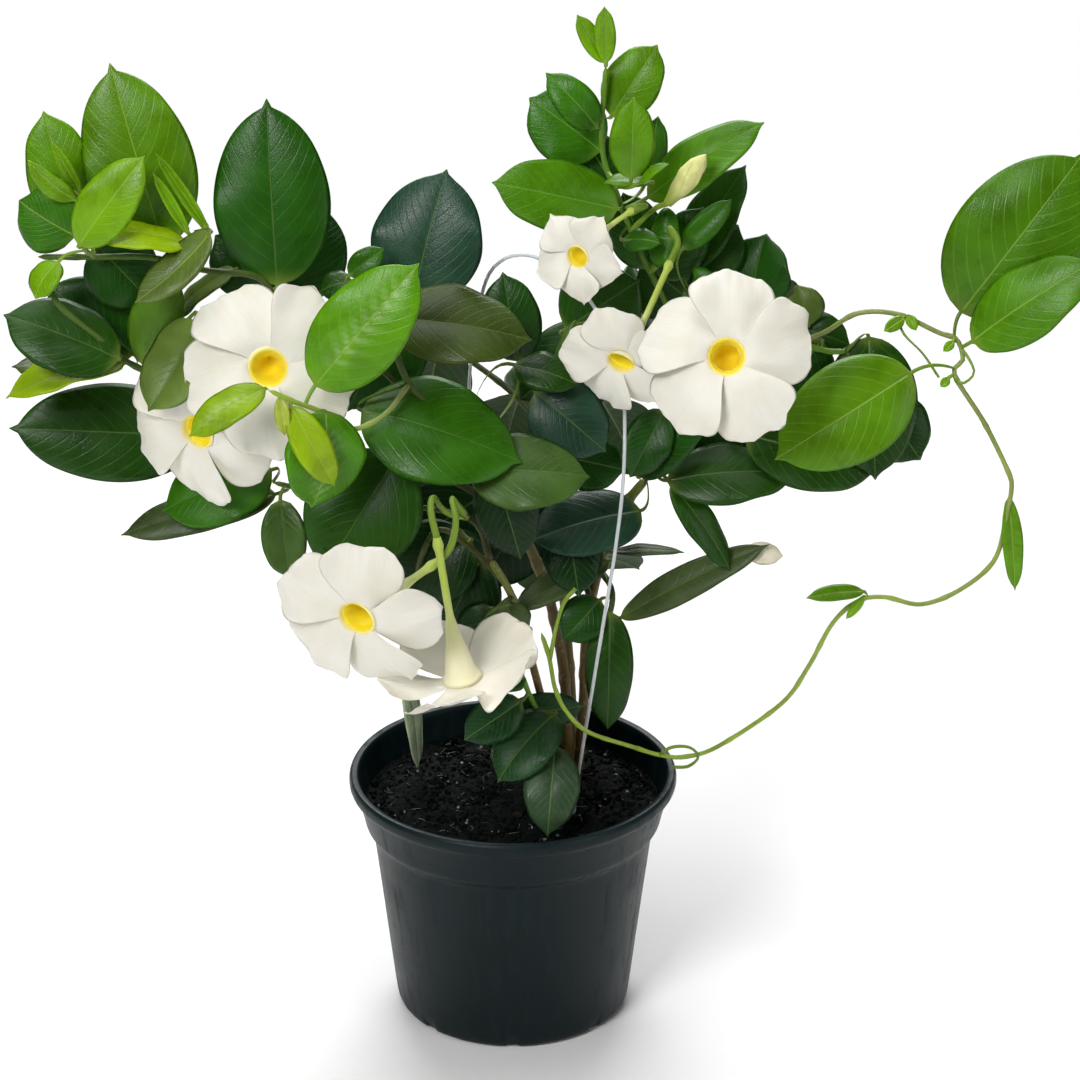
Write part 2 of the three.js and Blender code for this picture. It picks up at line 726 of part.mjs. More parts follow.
    leaves: [
      [[67, 94, 331], [62, 124, 367], 44, BACK_UP, 8, 5],
      [[93, 104, 350], [114, 120, 381], 44, BACK_UP, 8, 5],
      [[114, 106, 358], [152, 120, 331], 44, BACK, 8, 5],
      [[93, 104, 345], [111, 130, 287], 44, BACK, 8, 5],
      [[46, 77, 308], [68, 110, 249], 44, BACK, 8, 5],
      [[67, 92, 329], [25, 120, 291], 40, BACK, 8, 5],
    ],
  },
  {
    name: "shoot_back_low",
    on: "crown_stems",
    colour: DARK_GREEN,
    stemRadius: 1.45,
    stem: [
      [26, 40, 233], [24, 60, 229], [20, 84, 237], [17, 100, 247],
    ],
    leaves: [
      [[25, 62, 223], [68, 100, 201], 42, BACK_UP, 8, 5],
      [[23, 66, 227], [-18, 104, 205], 42, BACK_UP, 8, 5],
      [[18, 106, 244], [4, 130, 275], 42, BACK_UP, 8, 5],
      [[18, 102, 246], [41, 132, 263], 42, BACK_UP, 8, 5],
      [[20, 84, 237], [14, 120, 174], 42, BACK, 8, 5],
    ],
  },
];

// Every bloom: the throat and where it faces, the reach of its lobes, their turn about the axis in
// degrees, how far they cup forward, where along their length they are widest, and the tube from
// the stalk's end to the throat.
const BLOOMS = [
  {
    name: "bloom_left_upper",
    on: "shoot_left_high",
    throat: [-116, -60, 377],
    faces: [-0.1, -0.85, 0.35],
    reach: 43,
    spin: 48,
    cup: 0,
    widest: 0.72,
    tube: [[-116.9, -37.9, 376], [-117, -45, 374]],
  },
  {
    name: "bloom_left_lower",
    on: "shoot_left_low",
    throat: [-154, -37, 334],
    faces: [-0.4, -0.8, -0.1],
    reach: 40,
    spin: 48,
    cup: 0.1,
    widest: 0.66,
    tube: [[-139.9, -26.9, 337.8], [-148, -33, 336]],
  },
  {
    name: "bloom_top",
    on: "shoot_top",
    throat: [32, -34, 424],
    faces: [-0.35, -0.9, 0.1],
    reach: 25,
    spin: 54,
    cup: 0.15,
    widest: 0.44,
    tube: [[59.8, -22.7, 444.7], [46, -28, 436]],
  },
  {
    name: "bloom_centre",
    on: "shoot_top",
    throat: [53, -46, 374],
    faces: [-0.25, -0.85, -0.3],
    reach: 31,
    spin: 24,
    cup: 0.1,
    widest: 0.62,
    tube: [[77.4, -28.7, 420.6], [65, -46, 398]],
  },
  {
    name: "bloom_right",
    on: "shoot_right",
    throat: [102, -84, 392],
    faces: [-0.1, -0.85, 0.4],
    reach: 41,
    spin: 12,
    cup: 0,
    widest: 0.7,
    tube: [[116.3, -9.3, 366.8], [110, -30, 374]],
  },
  {
    name: "bloom_low_left",
    on: "shoot_left_under",
    throat: [-74, -106, 265],
    faces: [-0.3, -0.9, -0.2],
    reach: 41,
    spin: 76,
    cup: 0.05,
    widest: 0.7,
    tube: [[-35, -78, 284.1], [-54, -86, 273]],
  },
  {
    name: "bloom_hanging",
    on: "shoot_left_under",
    throat: [-23, -82, 221],
    faces: [0.2, 0.1, -1],
    reach: 41,
    spin: 1,
    cup: -0.12,
    widest: 0.7,
    tube: [[-35.3, -79.8, 297.5], [-29, -86, 257]],
  },
];

// A spent petal caught behind the tip of a low leaf.
const SPENT_PETAL = { on: "shoot_low", leafIndex: 1, base: [118, -8, 259], tip: [137, -8, 256], width: 12 };

const BUD = { on: "shoot_top", base: [76, -11.1, 443.3], tip: [94, -14, 469], radius: 6 };

const HOOP_PATH = [
  [32, -22, 118], [36, -26, 156], [40, -28, 185], [44, -30, 214], [49, -32, 250], [52, -34, 273],
  [55, -34, 303], [56, -28, 329], [55, -10, 347], [47, 2, 374], [32, 6, 397], [15, 6, 409],
  [4, 10, 410], [-5, 12, 406], [-12, 14, 396], [-17, 16, 374], [-21, 22, 340], [-21, 30, 293],
  [-20, 38, 234], [-18, 46, 173], [-17, 54, 113],
];

const solids = new Map();
const stemsOf = new Map();

// A stem's path with its end drawn out by the gap.
function lengthened(path) {
  const [before, end] = path.slice(-2).map((p) => new THREE.Vector3(...p));
  const direction = end.clone().sub(before).normalize();
  return [...path.slice(0, -1), end.addScaledVector(direction, GAP).toArray()];
}

// The stems of a piece grown by the gap, for cutting seats in its neighbours.
function grownStems(name) {
  return joined(stemsOf.get(name).map(({ path, radius }) => stemRod(lengthened(path), radius + GAP)));
}

// A path that starts on the nearest of some stems.
function rooted(path, stems) {
  const start = new THREE.Vector3(...path[0]);
  const roots = stems.map((stem) => nearestOn(stationsOf(stem), start));
  const root = roots.reduce((best, p) => (p.distanceTo(start) < best.distanceTo(start) ? p : best));
  return [root.toArray(), ...path.slice(1)];
}

function crownStub(extra) {
  const top = CROWN_STUB_RADIUS * 0.6 + extra;
  const foot = CROWN_STUB_RADIUS + extra;
  const stub = new THREE.CylinderGeometry(top, foot, CROWN_STUB_HEIGHT + extra, 10);
  stub.rotateX(Math.PI / 2);
  stub.translate(CROWN_POINT.x, CROWN_POINT.y, CROWN_POINT.z);
  return solidOf(stub);
}

function makeCrown() {
  stemsOf.set("crown_stems", CROWN_STEMS);
  const rods = CROWN_STEMS.map(({ path, radius }) => stemRod(path, radius));
  solids.set("crown_stems", joined([crownStub(0), ...rods]).asOriginal().simplify(SLACK));
}

function makeShoot({ name, on, stemRadius, stem, stalks = [], leaves }) {
  const main = { path: rooted(stem, stemsOf.get(on)), radius: stemRadius };
  const side = stalks.map(({ path, radius }) => {
    const root = rootOn(main, new THREE.Vector3(...path[0]));
    return { path: [root.toArray(), ...path.slice(1)], radius };
  });
  const stems = [main, ...side];
  stemsOf.set(name, stems);
  const parts = stems.map(({ path, radius }) => stemRod(path, radius));
  leaves.forEach((row) => parts.push(leaf(main, row)));
  solids.set(name, seatedOn(on, joined(parts)));
}

const LOBE_ROWS = [0.02, 0.3, 0.6, 0.85, 1];

// A corolla lobe: narrow where it leaves the throat, broad and blunt outside, and turned a little
// like a propeller blade. A cupped bloom carries its lobes forward by that angle.
function lobeSurface(throat, axis, outward, { reach, cup, widest }) {
  const sideways = axis.clone().cross(outward);
  return (t, s) => {
    const half = halfWidth(t, reach * LOBE_WIDTH, widest, LOBE_BLUNTNESS);
    const flat = reach * (0.3 * Math.sqrt(t) - 0.34 * t * t) + 0.2 * half * s;
    const out = reach * (0.1 + 0.9 * t * Math.cos(cup));
    const rise = flat * Math.cos(cup) + reach * 0.9 * t * Math.sin(cup);
    return throat
      .clone()
      .addScaledVector(outward, out)
      .addScaledVector(sideways, half * (s + 0.15 * t))
      .addScaledVector(axis, rise - 0.16 * reach);
  };
}

function makeBloom(row) {
  const { name, on, throat, faces, reach, spin, tube } = row;
  const centre = new THREE.Vector3(...throat);
  const axis = new THREE.Vector3(...faces).normalize();
  const side = new THREE.Vector3(0, 0, 1).cross(axis);
  if (side.length() < 0.2) side.set(1, 0, 0);
  side.normalize();
  const parts = [corollaTube(tube, centre, axis, reach)];
  for (let i = 0; i < 5; i++) {
    const outward = side.clone().applyAxisAngle(axis, THREE.MathUtils.degToRad(spin + 72 * i));
    parts.push(blade(lobeSurface(centre, axis, outward, row), () => PETAL, LOBE_ROWS, 2));
  }
  solids.set(name, seatedOn(on, joined(parts)));
}

// The tube and funnel of a corolla: a turned funnel with an open throat, bent along the line from
// the stalk to the throat.
function corollaTube(tube, centre, axis, reach) {
  const behind = centre.clone().addScaledVector(axis, -0.22 * reach);
  const curve = new THREE.CatmullRomCurve3(
    [...tube.map((p) => new THREE.Vector3(...p)), behind, centre],
    false,
    "catmullrom",
    0.5,
  );
  const mouth = 0.2 * reach;
  const profile = [
    [0, 0],
    [2.4, 0],
    [0.45 * mouth, 0.45],
    [mouth, 0.8],
    [1.15 * mouth, 1],
    [1.15 * mouth - 1.2, 1],
    [0.7 * mouth, 0.8],
    [0, 0.6],
  ];
  const geometry = turned(profile, 6);
  const position = geometry.attributes.position;
  const frame = new THREE.Quaternion();
  const up = new THREE.Vector3(0, 0, 1);
  const start = new THREE.Vector3();
  for (let i = 0; i < position.count; i++) {
    const share = THREE.MathUtils.clamp(position.getZ(i), 0, 1);
    const tangent = curve.getTangent(share);
    frame.setFromUnitVectors(up, tangent);
    start.set(position.getX(i), position.getY(i), 0).applyQuaternion(frame).add(curve.getPoint(share));
    position.setXYZ(i, start.x, start.y, start.z);
  }
  return solidOf(geometry);
}

function makeBud({ on, base, tip, radius }) {
  const from = new THREE.Vector3(...base);
  const to = new THREE.Vector3(...tip);
  const length = from.distanceTo(to);
  const profile = [
    [0, 0.4],
    [0.35 * radius, 0.4],
    [0.8 * radius, 0.3 * length],
    [radius, 0.55 * length],
    [0.75 * radius, 0.8 * length],
    [0, length],
  ];
  const geometry = turned(profile, 10);
  const up = new THREE.Vector3(0, 0, 1);
  const turn = new THREE.Quaternion().setFromUnitVectors(up, to.clone().sub(from).normalize());
  geometry.applyQuaternion(turn);
  geometry.translate(from.x, from.y, from.z);
  solids.set("bud_cream", seatedOn(on, solidOf(geometry)));
}

function makeSpentPetal({ on, leafIndex, base, tip, width }) {
  const shoot = SHOOTS.find(({ name }) => name === on);
  const [stem] = stemsOf.get(on);
  const petal = new THREE.Vector3(...base);
  const surface = leafSurface(petal, petal, new THREE.Vector3(...tip), width, FRONT, 10, 1.5);
  const carrier = leaf(stem, shoot.leaves[leafIndex], 5 * GAP);
  const petalBlade = blade(surface, () => PETAL, SMALL_ROWS.slice(1), 2);
  solids.set("petal_spent", petalBlade.subtract(carrier.add(solids.get(on))));
}

function makePot() {
  const ledge = POT_HEIGHT - COLLAR_HEIGHT;
  const profile = [
    [0, 0],
    [BASE_RADIUS - BASE_CORNER, 0],
    [BASE_RADIUS - 1.5, 1.5],
    [BASE_RADIUS, BASE_CORNER],
    [BODY_TOP_RADIUS, ledge - 3],
    [COLLAR_FOOT_RADIUS, ledge],
    [COLLAR_TOP_RADIUS, POT_HEIGHT - LIP_HEIGHT],
    [RIM_RADIUS, POT_HEIGHT - LIP_HEIGHT + 2],
    [RIM_RADIUS, POT_HEIGHT - 1.5],
    [RIM_RADIUS - 1.5, POT_HEIGHT],
    [COLLAR_TOP_RADIUS - WALL, POT_HEIGHT - 1],
    [COLLAR_FOOT_RADIUS - WALL, ledge + 1],
    [BODY_TOP_RADIUS - WALL, ledge - 3],
    [BASE_RADIUS - WALL, FLOOR],
    [0, FLOOR],
  ];
  solids.set("pot", solidOf(turned(profile, POT_SEGMENTS)));
}

// The radius of the inside of the pot's wall at a height.
function innerRadius(height) {
  const ledge = POT_HEIGHT - COLLAR_HEIGHT;
  if (height > ledge) {
    const share = (height - ledge) / (POT_HEIGHT - LIP_HEIGHT - ledge);
    return THREE.MathUtils.lerp(COLLAR_FOOT_RADIUS, COLLAR_TOP_RADIUS, share) - WALL;
  }
  return THREE.MathUtils.lerp(BASE_RADIUS, BODY_TOP_RADIUS, (height - FLOOR) / (ledge - 3 - FLOOR)) - WALL;
}

// Compost with plain holes where the crown and the legs of the hoop stand in it.
function makeSoil() {
  const ledge = POT_HEIGHT - COLLAR_HEIGHT;
  const clear = 1.2;
  const profile = [
    [0, SOIL_FOOT - 3],
    [innerRadius(SOIL_FOOT) - clear, SOIL_FOOT - 3],
    [innerRadius(ledge - 3) - clear, ledge - 3],
    [innerRadius(SOIL_TOP) - clear, SOIL_TOP],
    [0, SOIL_TOP + 1],
  ];
  const fill = solidOf(turned(profile, POT_SEGMENTS));
  const holes = [crownStub(GAP), grownStems("crown_stems"), hoopRod(HOOP_RADIUS + GAP)];
  solids.set("soil", fill.subtract(joined(holes)));
}

// The hoop: one wire bent into an arch, its two legs pushed straight down into the compost.
function hoopRod(radius) {
  const first = HOOP_PATH[0];
  const last = HOOP_PATH[HOOP_PATH.length - 1];
  const foot = ([x, y, z]) => [x, y, z - HOOP_DEPTH];
  return rod(curveThrough([foot(first), ...HOOP_PATH, foot(last)]), radius, ROD_SIDES, HOOP_STEPS);
}

makeCrown();
makePot();
makeSoil();
solids.set("hoop", hoopRod(HOOP_RADIUS));
SHOOTS.forEach(makeShoot);
BLOOMS.forEach(makeBloom);
makeBud(BUD);
makeSpentPetal(SPENT_PETAL);

// The scene graph ------------------------------------------------------------------------------

const COLOURS = new Map([
  ["pot", BLACK_PLASTIC],
  ["soil", COMPOST],
  ["hoop", PALE_WIRE],
  ["crown_stems", BARK],
  ["bud_cream", CREAM],
  ["petal_spent", CREAM],
  ...SHOOTS.map(({ name, colour }) => [name, colour]),
  ...BLOOMS.map(({ name }) => [name, IVORY]),
]);

const plant = new THREE.Group();
for (const [name, solid] of solids) {
  const material = new THREE.MeshStandardMaterial(COLOURS.get(name));
  const merged = solidOf(geometryOf(solid));
  const mesh = new THREE.Mesh(geometryOf(merged), material);
  mesh.name = name;
  plant.add(mesh);
}

export default plant;
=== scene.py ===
import math

import bpy
import numpy as np
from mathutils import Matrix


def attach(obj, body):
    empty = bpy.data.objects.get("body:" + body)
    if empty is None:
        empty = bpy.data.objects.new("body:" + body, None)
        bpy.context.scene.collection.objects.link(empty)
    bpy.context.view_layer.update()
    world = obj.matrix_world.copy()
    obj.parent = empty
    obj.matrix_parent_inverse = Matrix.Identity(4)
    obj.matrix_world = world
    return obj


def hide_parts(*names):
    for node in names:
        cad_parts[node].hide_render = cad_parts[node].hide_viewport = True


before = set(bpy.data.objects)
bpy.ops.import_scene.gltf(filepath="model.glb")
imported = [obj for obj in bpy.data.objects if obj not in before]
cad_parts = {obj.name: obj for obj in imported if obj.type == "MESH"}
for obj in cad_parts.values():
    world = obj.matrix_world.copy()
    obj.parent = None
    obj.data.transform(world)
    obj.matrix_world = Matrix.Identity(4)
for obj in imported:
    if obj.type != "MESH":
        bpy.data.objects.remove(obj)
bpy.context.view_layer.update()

MM = 0.001


# ---- Nursery pot --------------------------------------------------------------------------------
# One thin-walled pot of black polypropylene, injection-moulded: a rolled lip, a tapered collar that
# stacks on the next pot, a tapered body and shallow drain notches where the wall meets the base.

POT_HEIGHT, RIM_RADIUS, COLLAR_HEIGHT, BASE_RADIUS = 132, 85, 27, 61.5
DRAIN_NOTCHES, NOTCH_DEPTH, NOTCH_HEIGHT, NOTCH_WIDTH = 8, 1.1, 7.0, 7.0


def linear(colour):
    """An sRGB hex colour as linear RGBA: each channel ((c + 0.055) / 1.055)^2.4, or c / 12.92 when dark."""
    c = np.array([int(colour[i:i + 2], 16) for i in (1, 3, 5)]) / 255
    return (*np.where(c <= 0.04045, c / 12.92, ((c + 0.055) / 1.055) ** 2.4), 1.0)


def pigment(colour):
    """The same colour as linear RGB, for the tones that a mesh carries."""
    return np.array(linear(colour)[:3])


def add(tree, kind, inputs=None, **settings):
    """Adds a node with its settings; each input is a value to set, a socket to link, or a node whose
    first output is linked."""
    made = tree.nodes.new("ShaderNode" + kind)
    for key, value in settings.items():
        setattr(made, key, value)
    for key, value in (inputs or {}).items():
        if isinstance(value, bpy.types.Node):
            value = value.outputs[0]
        if isinstance(value, bpy.types.NodeSocket):
            tree.links.new(value, made.inputs[key])
        else:
            made.inputs[key].default_value = value
    return made


def finish(name):
    """An empty finish: the material, its node tree and its shader."""
    skin = bpy.data.materials.new(name)
    skin.use_nodes = True
    return skin, skin.node_tree, skin.node_tree.nodes["Principled BSDF"]


def smooth(x, low, high):
    """0 below low, 1 above high, and 3x^2 - 2x^3 between."""
    x = np.clip((x - low) / (high - low), 0, 1)
    return x * x * (3 - 2 * x)


def with_ends(values):
    """A loft's values as one list, and after them the mean of its first ring and of its last."""
    ends = [values[0].mean(0), values[-1].mean(0)]
    return np.concatenate([values.reshape(-1, values.shape[-1]), ends])


def lofted(name, lofts, skin):
    """One mesh of closed skins. A loft is a grid of points, rows by ring: quads join each row to the
    next and each ring to itself, a fan closes each end at the mean of its ring, and the whole skin is
    turned so that its signed volume, the sum of a . (b x c) over its triangles, is positive. Its tone
    is one colour, or one per row or point. The rest may be left out: its UV, the gap between its
    side veins, how far it is an underside, from 0 to 1, and its seed. MM turns it to metres."""
    points, uvs, tones, marks, quads, fans, count = [], [], [], [], [], [], 0
    for loft in lofts:
        grid = loft["grid"]
        rows, ring = grid.shape[:2]
        number = np.arange(rows * ring).reshape(rows, ring)
        after = np.roll(number, -1, axis=1)
        quad = np.stack([number[:-1], after[:-1], after[1:], number[1:]], -1).reshape(-1, 4)
        first, last = rows * ring, rows * ring + 1
        fan = np.concatenate([
            np.stack([after[0], number[0], np.full(ring, first)], -1),
            np.stack([number[-1], after[-1], np.full(ring, last)], -1),
        ])
        flat = with_ends(grid)
        corners = np.concatenate([quad[:, [0, 1, 2]], quad[:, [0, 2, 3]], fan])
        a, b, c = (flat[corners[:, i]] for i in range(3))
        if np.einsum("ij,ij->i", a, np.cross(b, c)).sum() < 0:
            quad, fan = quad[:, ::-1], fan[:, ::-1]
        shares = [np.broadcast_to(loft.get(key, 0.0), (rows, ring)) for key in ("vein", "under", "seed")]
        points.append(flat)
        uvs.append(with_ends(loft.get("uv", np.zeros((rows, ring, 2)))))
        tones.append(with_ends(np.broadcast_to(loft["tone"], (rows, ring, 3))))
        marks.append(with_ends(np.stack(shares, -1)))
        quads.append(quad + count)
        fans.append(fan + count)
        count += len(flat)
    mesh = bpy.data.meshes.new(name)
    faces = np.concatenate(quads).tolist() + np.concatenate(fans).tolist()
    mesh.from_pydata((np.concatenate(points) * MM).tolist(), [], faces)
    corner_of = np.empty(len(mesh.loops), dtype=np.int32)
    mesh.loops.foreach_get("vertex_index", corner_of)
    mesh.uv_layers.new(name="blade").data.foreach_set("uv", np.concatenate(uvs)[corner_of].ravel())
    tone = np.concatenate(tones)
    colour = mesh.attributes.new("tone", "FLOAT_COLOR", "POINT")
    colour.data.foreach_set("color", np.column_stack([tone, np.ones(len(tone))]).ravel())
    mark = mesh.attributes.new("marks", "FLOAT_VECTOR", "POINT")
    mark.data.foreach_set("vector", np.concatenate(marks).ravel())
    mesh.shade_smooth()
    mesh.materials.append(skin)
    piece = bpy.data.objects.new(name, mesh)
    bpy.context.collection.objects.link(piece)
    return piece


def turned(profile, segments):
    """A profile of [radius, height] rows turned about the upright axis: (r cos a, r sin a, h)."""
    angle = np.linspace(0, 2 * np.pi, segments, endpoint=False)
    r, h = np.array(profile, float).T
    x, y = np.outer(r, np.cos(angle)), np.outer(r, np.sin(angle))
    return np.stack([x, y, np.outer(h, np.ones(segments))], -1)


def eased(profile, steps):
    """A profile with `steps` points on each straight side and its corners cut by averaging twice."""
    p = np.array(profile, float)
    share = np.linspace(0, 1, steps, endpoint=False)[:, None]
    fine = np.concatenate([a + (b - a) * share for a, b in zip(p[:-1], p[1:])] + [p[-1:]])
    for _ in range(2):
        fine[1:-1] = (fine[:-2] + 2 * fine[1:-1] + fine[2:]) / 4
    return fine


LEDGE = POT_HEIGHT - COLLAR_HEIGHT
OUTER_CORNERS, EASE_STEPS, POT_SIDES = 13, 5, 288
pot_profile = eased([
    [0.5, 1.2], [48, 1.2], [50, 0], [56.5, 0], [60, 1.4], [BASE_RADIUS, 5], [64.9, 34], [68.8, 67],
    [73, LEDGE - 4], [74.6, LEDGE - 2.2], [76.8, LEDGE], [78.6, LEDGE + 8], [82, 124.6], [84.2, 125],
    [RIM_RADIUS, 127], [RIM_RADIUS, 130], [84, 131.8], [82.6, POT_HEIGHT], [80.6, 131.6], [79.8, 130],
    [77.2, 118], [74.4, LEDGE + 1], [70.8, LEDGE - 4], [59.3, 2.6], [30, 2.5], [0.5, 2.5],
], EASE_STEPS)
pot_grid = turned(pot_profile, POT_SIDES)
pot_x, pot_y, pot_z = (pot_grid[..., i] for i in range(3))
around, from_axis = np.arctan2(pot_y, pot_x), np.hypot(pot_x, pot_y)
outer = np.arange(len(pot_profile)) < OUTER_CORNERS * EASE_STEPS
from_notch = (around * DRAIN_NOTCHES / (2 * np.pi) + 0.5) % 1 - 0.5
beside = np.abs(from_notch) * 2 * np.pi * BASE_RADIUS / DRAIN_NOTCHES
notch = 1 - smooth(beside, NOTCH_WIDTH / 2 - 1, NOTCH_WIDTH / 2)
notch = notch * (1 - smooth(pot_z, NOTCH_HEIGHT - 1.5, NOTCH_HEIGHT)) * outer[:, None]
notch = notch * smooth(from_axis, 50, 56)
sag = 0.25 * np.sin(3 * around + 0.7) + 0.18 * np.sin(5 * around + 2.1)
out = 1 - (notch * NOTCH_DEPTH - sag * smooth(pot_z, 20, 120)) / np.maximum(from_axis, 20)
pot_grid[..., :2] *= out[..., None]

# Polypropylene from a lightly eroded mould: satin, with a sheen that breaks up in faint flow marks,
# pale upright streaks where pots rubbed in the stack, fine slanting scratches, and a painted highlight:
# a paler band round the lip.
polypropylene, tree, shader = finish("black_polypropylene_satin")
place = add(tree, "TexCoord").outputs["Object"]
flow = add(tree, "TexNoise", {"Vector": place, "Scale": 34, "Detail": 4, "Roughness": 0.6})
streaks = add(tree, "Mapping", {"Vector": place, "Scale": (60, 60, 5)})
scuffs = add(tree, "TexNoise", {"Vector": streaks, "Scale": 3.2, "Detail": 6, "Roughness": 0.75})
scuff_edge = add(tree, "MapRange", {0: scuffs, 1: 0.5, 2: 0.75, 3: 0, 4: 0.36})
scratch_map = add(tree, "Mapping", {"Vector": place, "Scale": (30, 30, 420), "Rotation": (0.5, 0.3, 0.2)})
scratches = add(tree, "TexNoise", {"Vector": scratch_map, "Scale": 2, "Detail": 3})
scratch_edge = add(tree, "MapRange", {0: scratches, 1: 0.66, 2: 0.7, 3: 0, 4: 0.2})
rubbed = add(tree, "Math", {0: scuff_edge, 1: scratch_edge}, operation="MAXIMUM")
height = add(tree, "SeparateXYZ", {0: place})
# Painted highlight: a band round the lip, 128.5 to 130.5 mm up, is mixed paler; worn carries both the real
# wear and this painted highlight.
painted_lip_highlight = add(tree, "MapRange", {0: height.outputs["Z"], 1: 0.1285, 2: 0.1305, 3: 0, 4: 0.2})
worn = add(tree, "Math", {0: rubbed, 1: painted_lip_highlight}, operation="MAXIMUM")
base = add(tree, "Mix", {0: flow, 6: linear("#03110f"), 7: linear("#05181c")}, data_type="RGBA")
colour = add(tree, "Mix", {0: worn, 6: base.outputs[2], 7: linear("#26363b")}, data_type="RGBA")
tree.links.new(colour.outputs[2], shader.inputs["Base Color"])
gloss = add(tree, "MapRange", {0: flow, 1: 0.3, 2: 0.7, 3: 0.34, 4: 0.46})
rough = add(tree, "Math", {0: gloss, 1: rubbed}, operation="ADD")
tree.links.new(rough.outputs[0], shader.inputs["Roughness"])
# The eroded grain is about 0.4 mm; it is drawn at 0.8 mm so that it shows.
grain = add(tree, "TexNoise", {"Vector": place, "Scale": 1250, "Detail": 2})
grain_bump = add(tree, "Bump", {"Strength": 0.05, "Distance": 0.0004, "Height": grain})
tree.links.new(grain_bump.outputs[0], shader.inputs["Normal"])
shader.inputs["IOR"].default_value = 1.49
shader.inputs["Specular IOR Level"].default_value = 0.2

pot = lofted("pot_shell", [{"grid": pot_grid, "tone": pigment("#141c20")}], polypropylene)
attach(pot, "root")
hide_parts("pot")


# ---- Compost ------------------------------------------------------------------------------------
# Dark peat compost, watered and a little sunken: a lumpy surface covered in crumbs, with short pale
# fibres, chips of bark and a few grains of white perlite.

SOIL_TOP, SOIL_FOOT, SOIL_SIDES = 117, 3, 160
SOIL_DISH, SOIL_MOUND, SOIL_LUMPS = 1.5, 2.5, 4.5
CROWN_X, CROWN_Y = 29, 7
CRUMBS, FIBRES, PERLITE, BARK_CHIPS = 2400, 130, 80, 90
chance = np.random.default_rng(31)


def lumps(x, y, waves, sizes):
    """A lumpy height from -1 to 1: sine waves of the given lengths in mm, each with a weight in
    proportion to its length, crossing at seeded angles."""
    total = np.zeros_like(x)
    for size in sizes:
        for _ in range(waves):
            turn, phase = chance.uniform(0, 2 * np.pi, 2)
            across = x * math.cos(turn) + y * math.sin(turn)
            total += size / sum(sizes) / waves * np.sin(across * 2 * np.pi / size + phase)
    return total


def soil_height(x, y):
    """The compost's top: level, lower by the dish towards the rim, raised by the mound at the crown
    as exp(-distance^2 / 500)."""
    r = np.hypot(x, y)
    mound = SOIL_MOUND * np.exp(-((x - CROWN_X) ** 2 + (y - CROWN_Y) ** 2) / 500)
    return SOIL_TOP - SOIL_DISH * smooth(r, 45, 76) + mound


soil_profile = [[0.5, SOIL_FOOT], [57.2, SOIL_FOOT], [69.4, 100], [73.4, 107], [75.4, 113]]
soil_profile += [[r, SOIL_TOP] for r in np.linspace(76.0, 0.8, 52)]
soil_grid = turned(soil_profile, SOIL_SIDES)
top = soil_grid[..., 2] >= SOIL_TOP
x, y = soil_grid[..., 0], soil_grid[..., 1]
rough_ground = lumps(x, y, 5, (26, 11, 6, 3.4)) * SOIL_LUMPS
soil_grid[..., 2] = np.where(top, soil_height(x, y) + rough_ground, soil_grid[..., 2])

# A crumb is a small rough ball: 12 corners of an icosahedron pushed in and out.
golden = (1 + 5 ** 0.5) / 2
ball = np.array([(0, a, b * golden) for a in (-1, 1) for b in (-1, 1)])
ball = np.concatenate([ball, ball[:, [1, 2, 0]], ball[:, [2, 0, 1]]]) / math.hypot(1, golden)
corners = len(ball)
apart = np.linalg.norm(ball[:, None] - ball[None], axis=-1)
ball_faces = np.array([
    (i, j, k) for i in range(corners) for j in range(i + 1, corners) for k in range(j + 1, corners)
    if max(apart[i, j], apart[j, k], apart[k, i]) < 1.1
])
a, b, c = (ball[ball_faces[:, i]] for i in range(3))
inward = np.einsum("ij,ij->i", a, np.cross(b, c)) < 0
ball_faces[inward] = ball_faces[inward][:, ::-1]


def scattered(number, low, high, reach=74.5):
    """Seeded places on the compost, even over its area, radius = reach sqrt(chance), and as many sizes."""
    r, turn = reach * np.sqrt(chance.random(number)), chance.uniform(0, 2 * np.pi, number)
    px, py = r * np.cos(turn), r * np.sin(turn)
    places = np.stack([px, py, soil_height(px, py) + chance.uniform(-0.6, 1.0, number)], -1)
    return places, chance.uniform(low, high, number)


crumb_at, crumb_size = scattered(CRUMBS, 0.5, 1.7)
pearl_at, pearl_size = scattered(PERLITE, 0.5, 1.25)
bark_at, bark_size = scattered(BARK_CHIPS, 1.6, 3.6)
bit_at = np.concatenate([crumb_at, pearl_at, bark_at])
bit_size = np.concatenate([crumb_size, pearl_size, bark_size])
stretch = chance.uniform(0.6, 1.15, (len(bit_at), 1, 3))
stretch[CRUMBS + PERLITE:, :, 2] *= 0.4
dents = chance.uniform(0.72, 1.18, (len(bit_at), corners, 1))
bits = bit_at[:, None] + ball[None] * bit_size[:, None, None] * stretch * dents
bit_tone = np.empty((len(bit_at), 3))
bit_tone[:CRUMBS] = pigment("#040908") * chance.uniform(0.5, 2.2, (CRUMBS, 1))
bit_tone[CRUMBS:CRUMBS + PERLITE] = pigment("#a9a79c") * chance.uniform(0.35, 1.0, (PERLITE, 1))
bit_tone[CRUMBS + PERLITE:] = pigment("#15140f") * chance.uniform(0.4, 1.5, (BARK_CHIPS, 1))

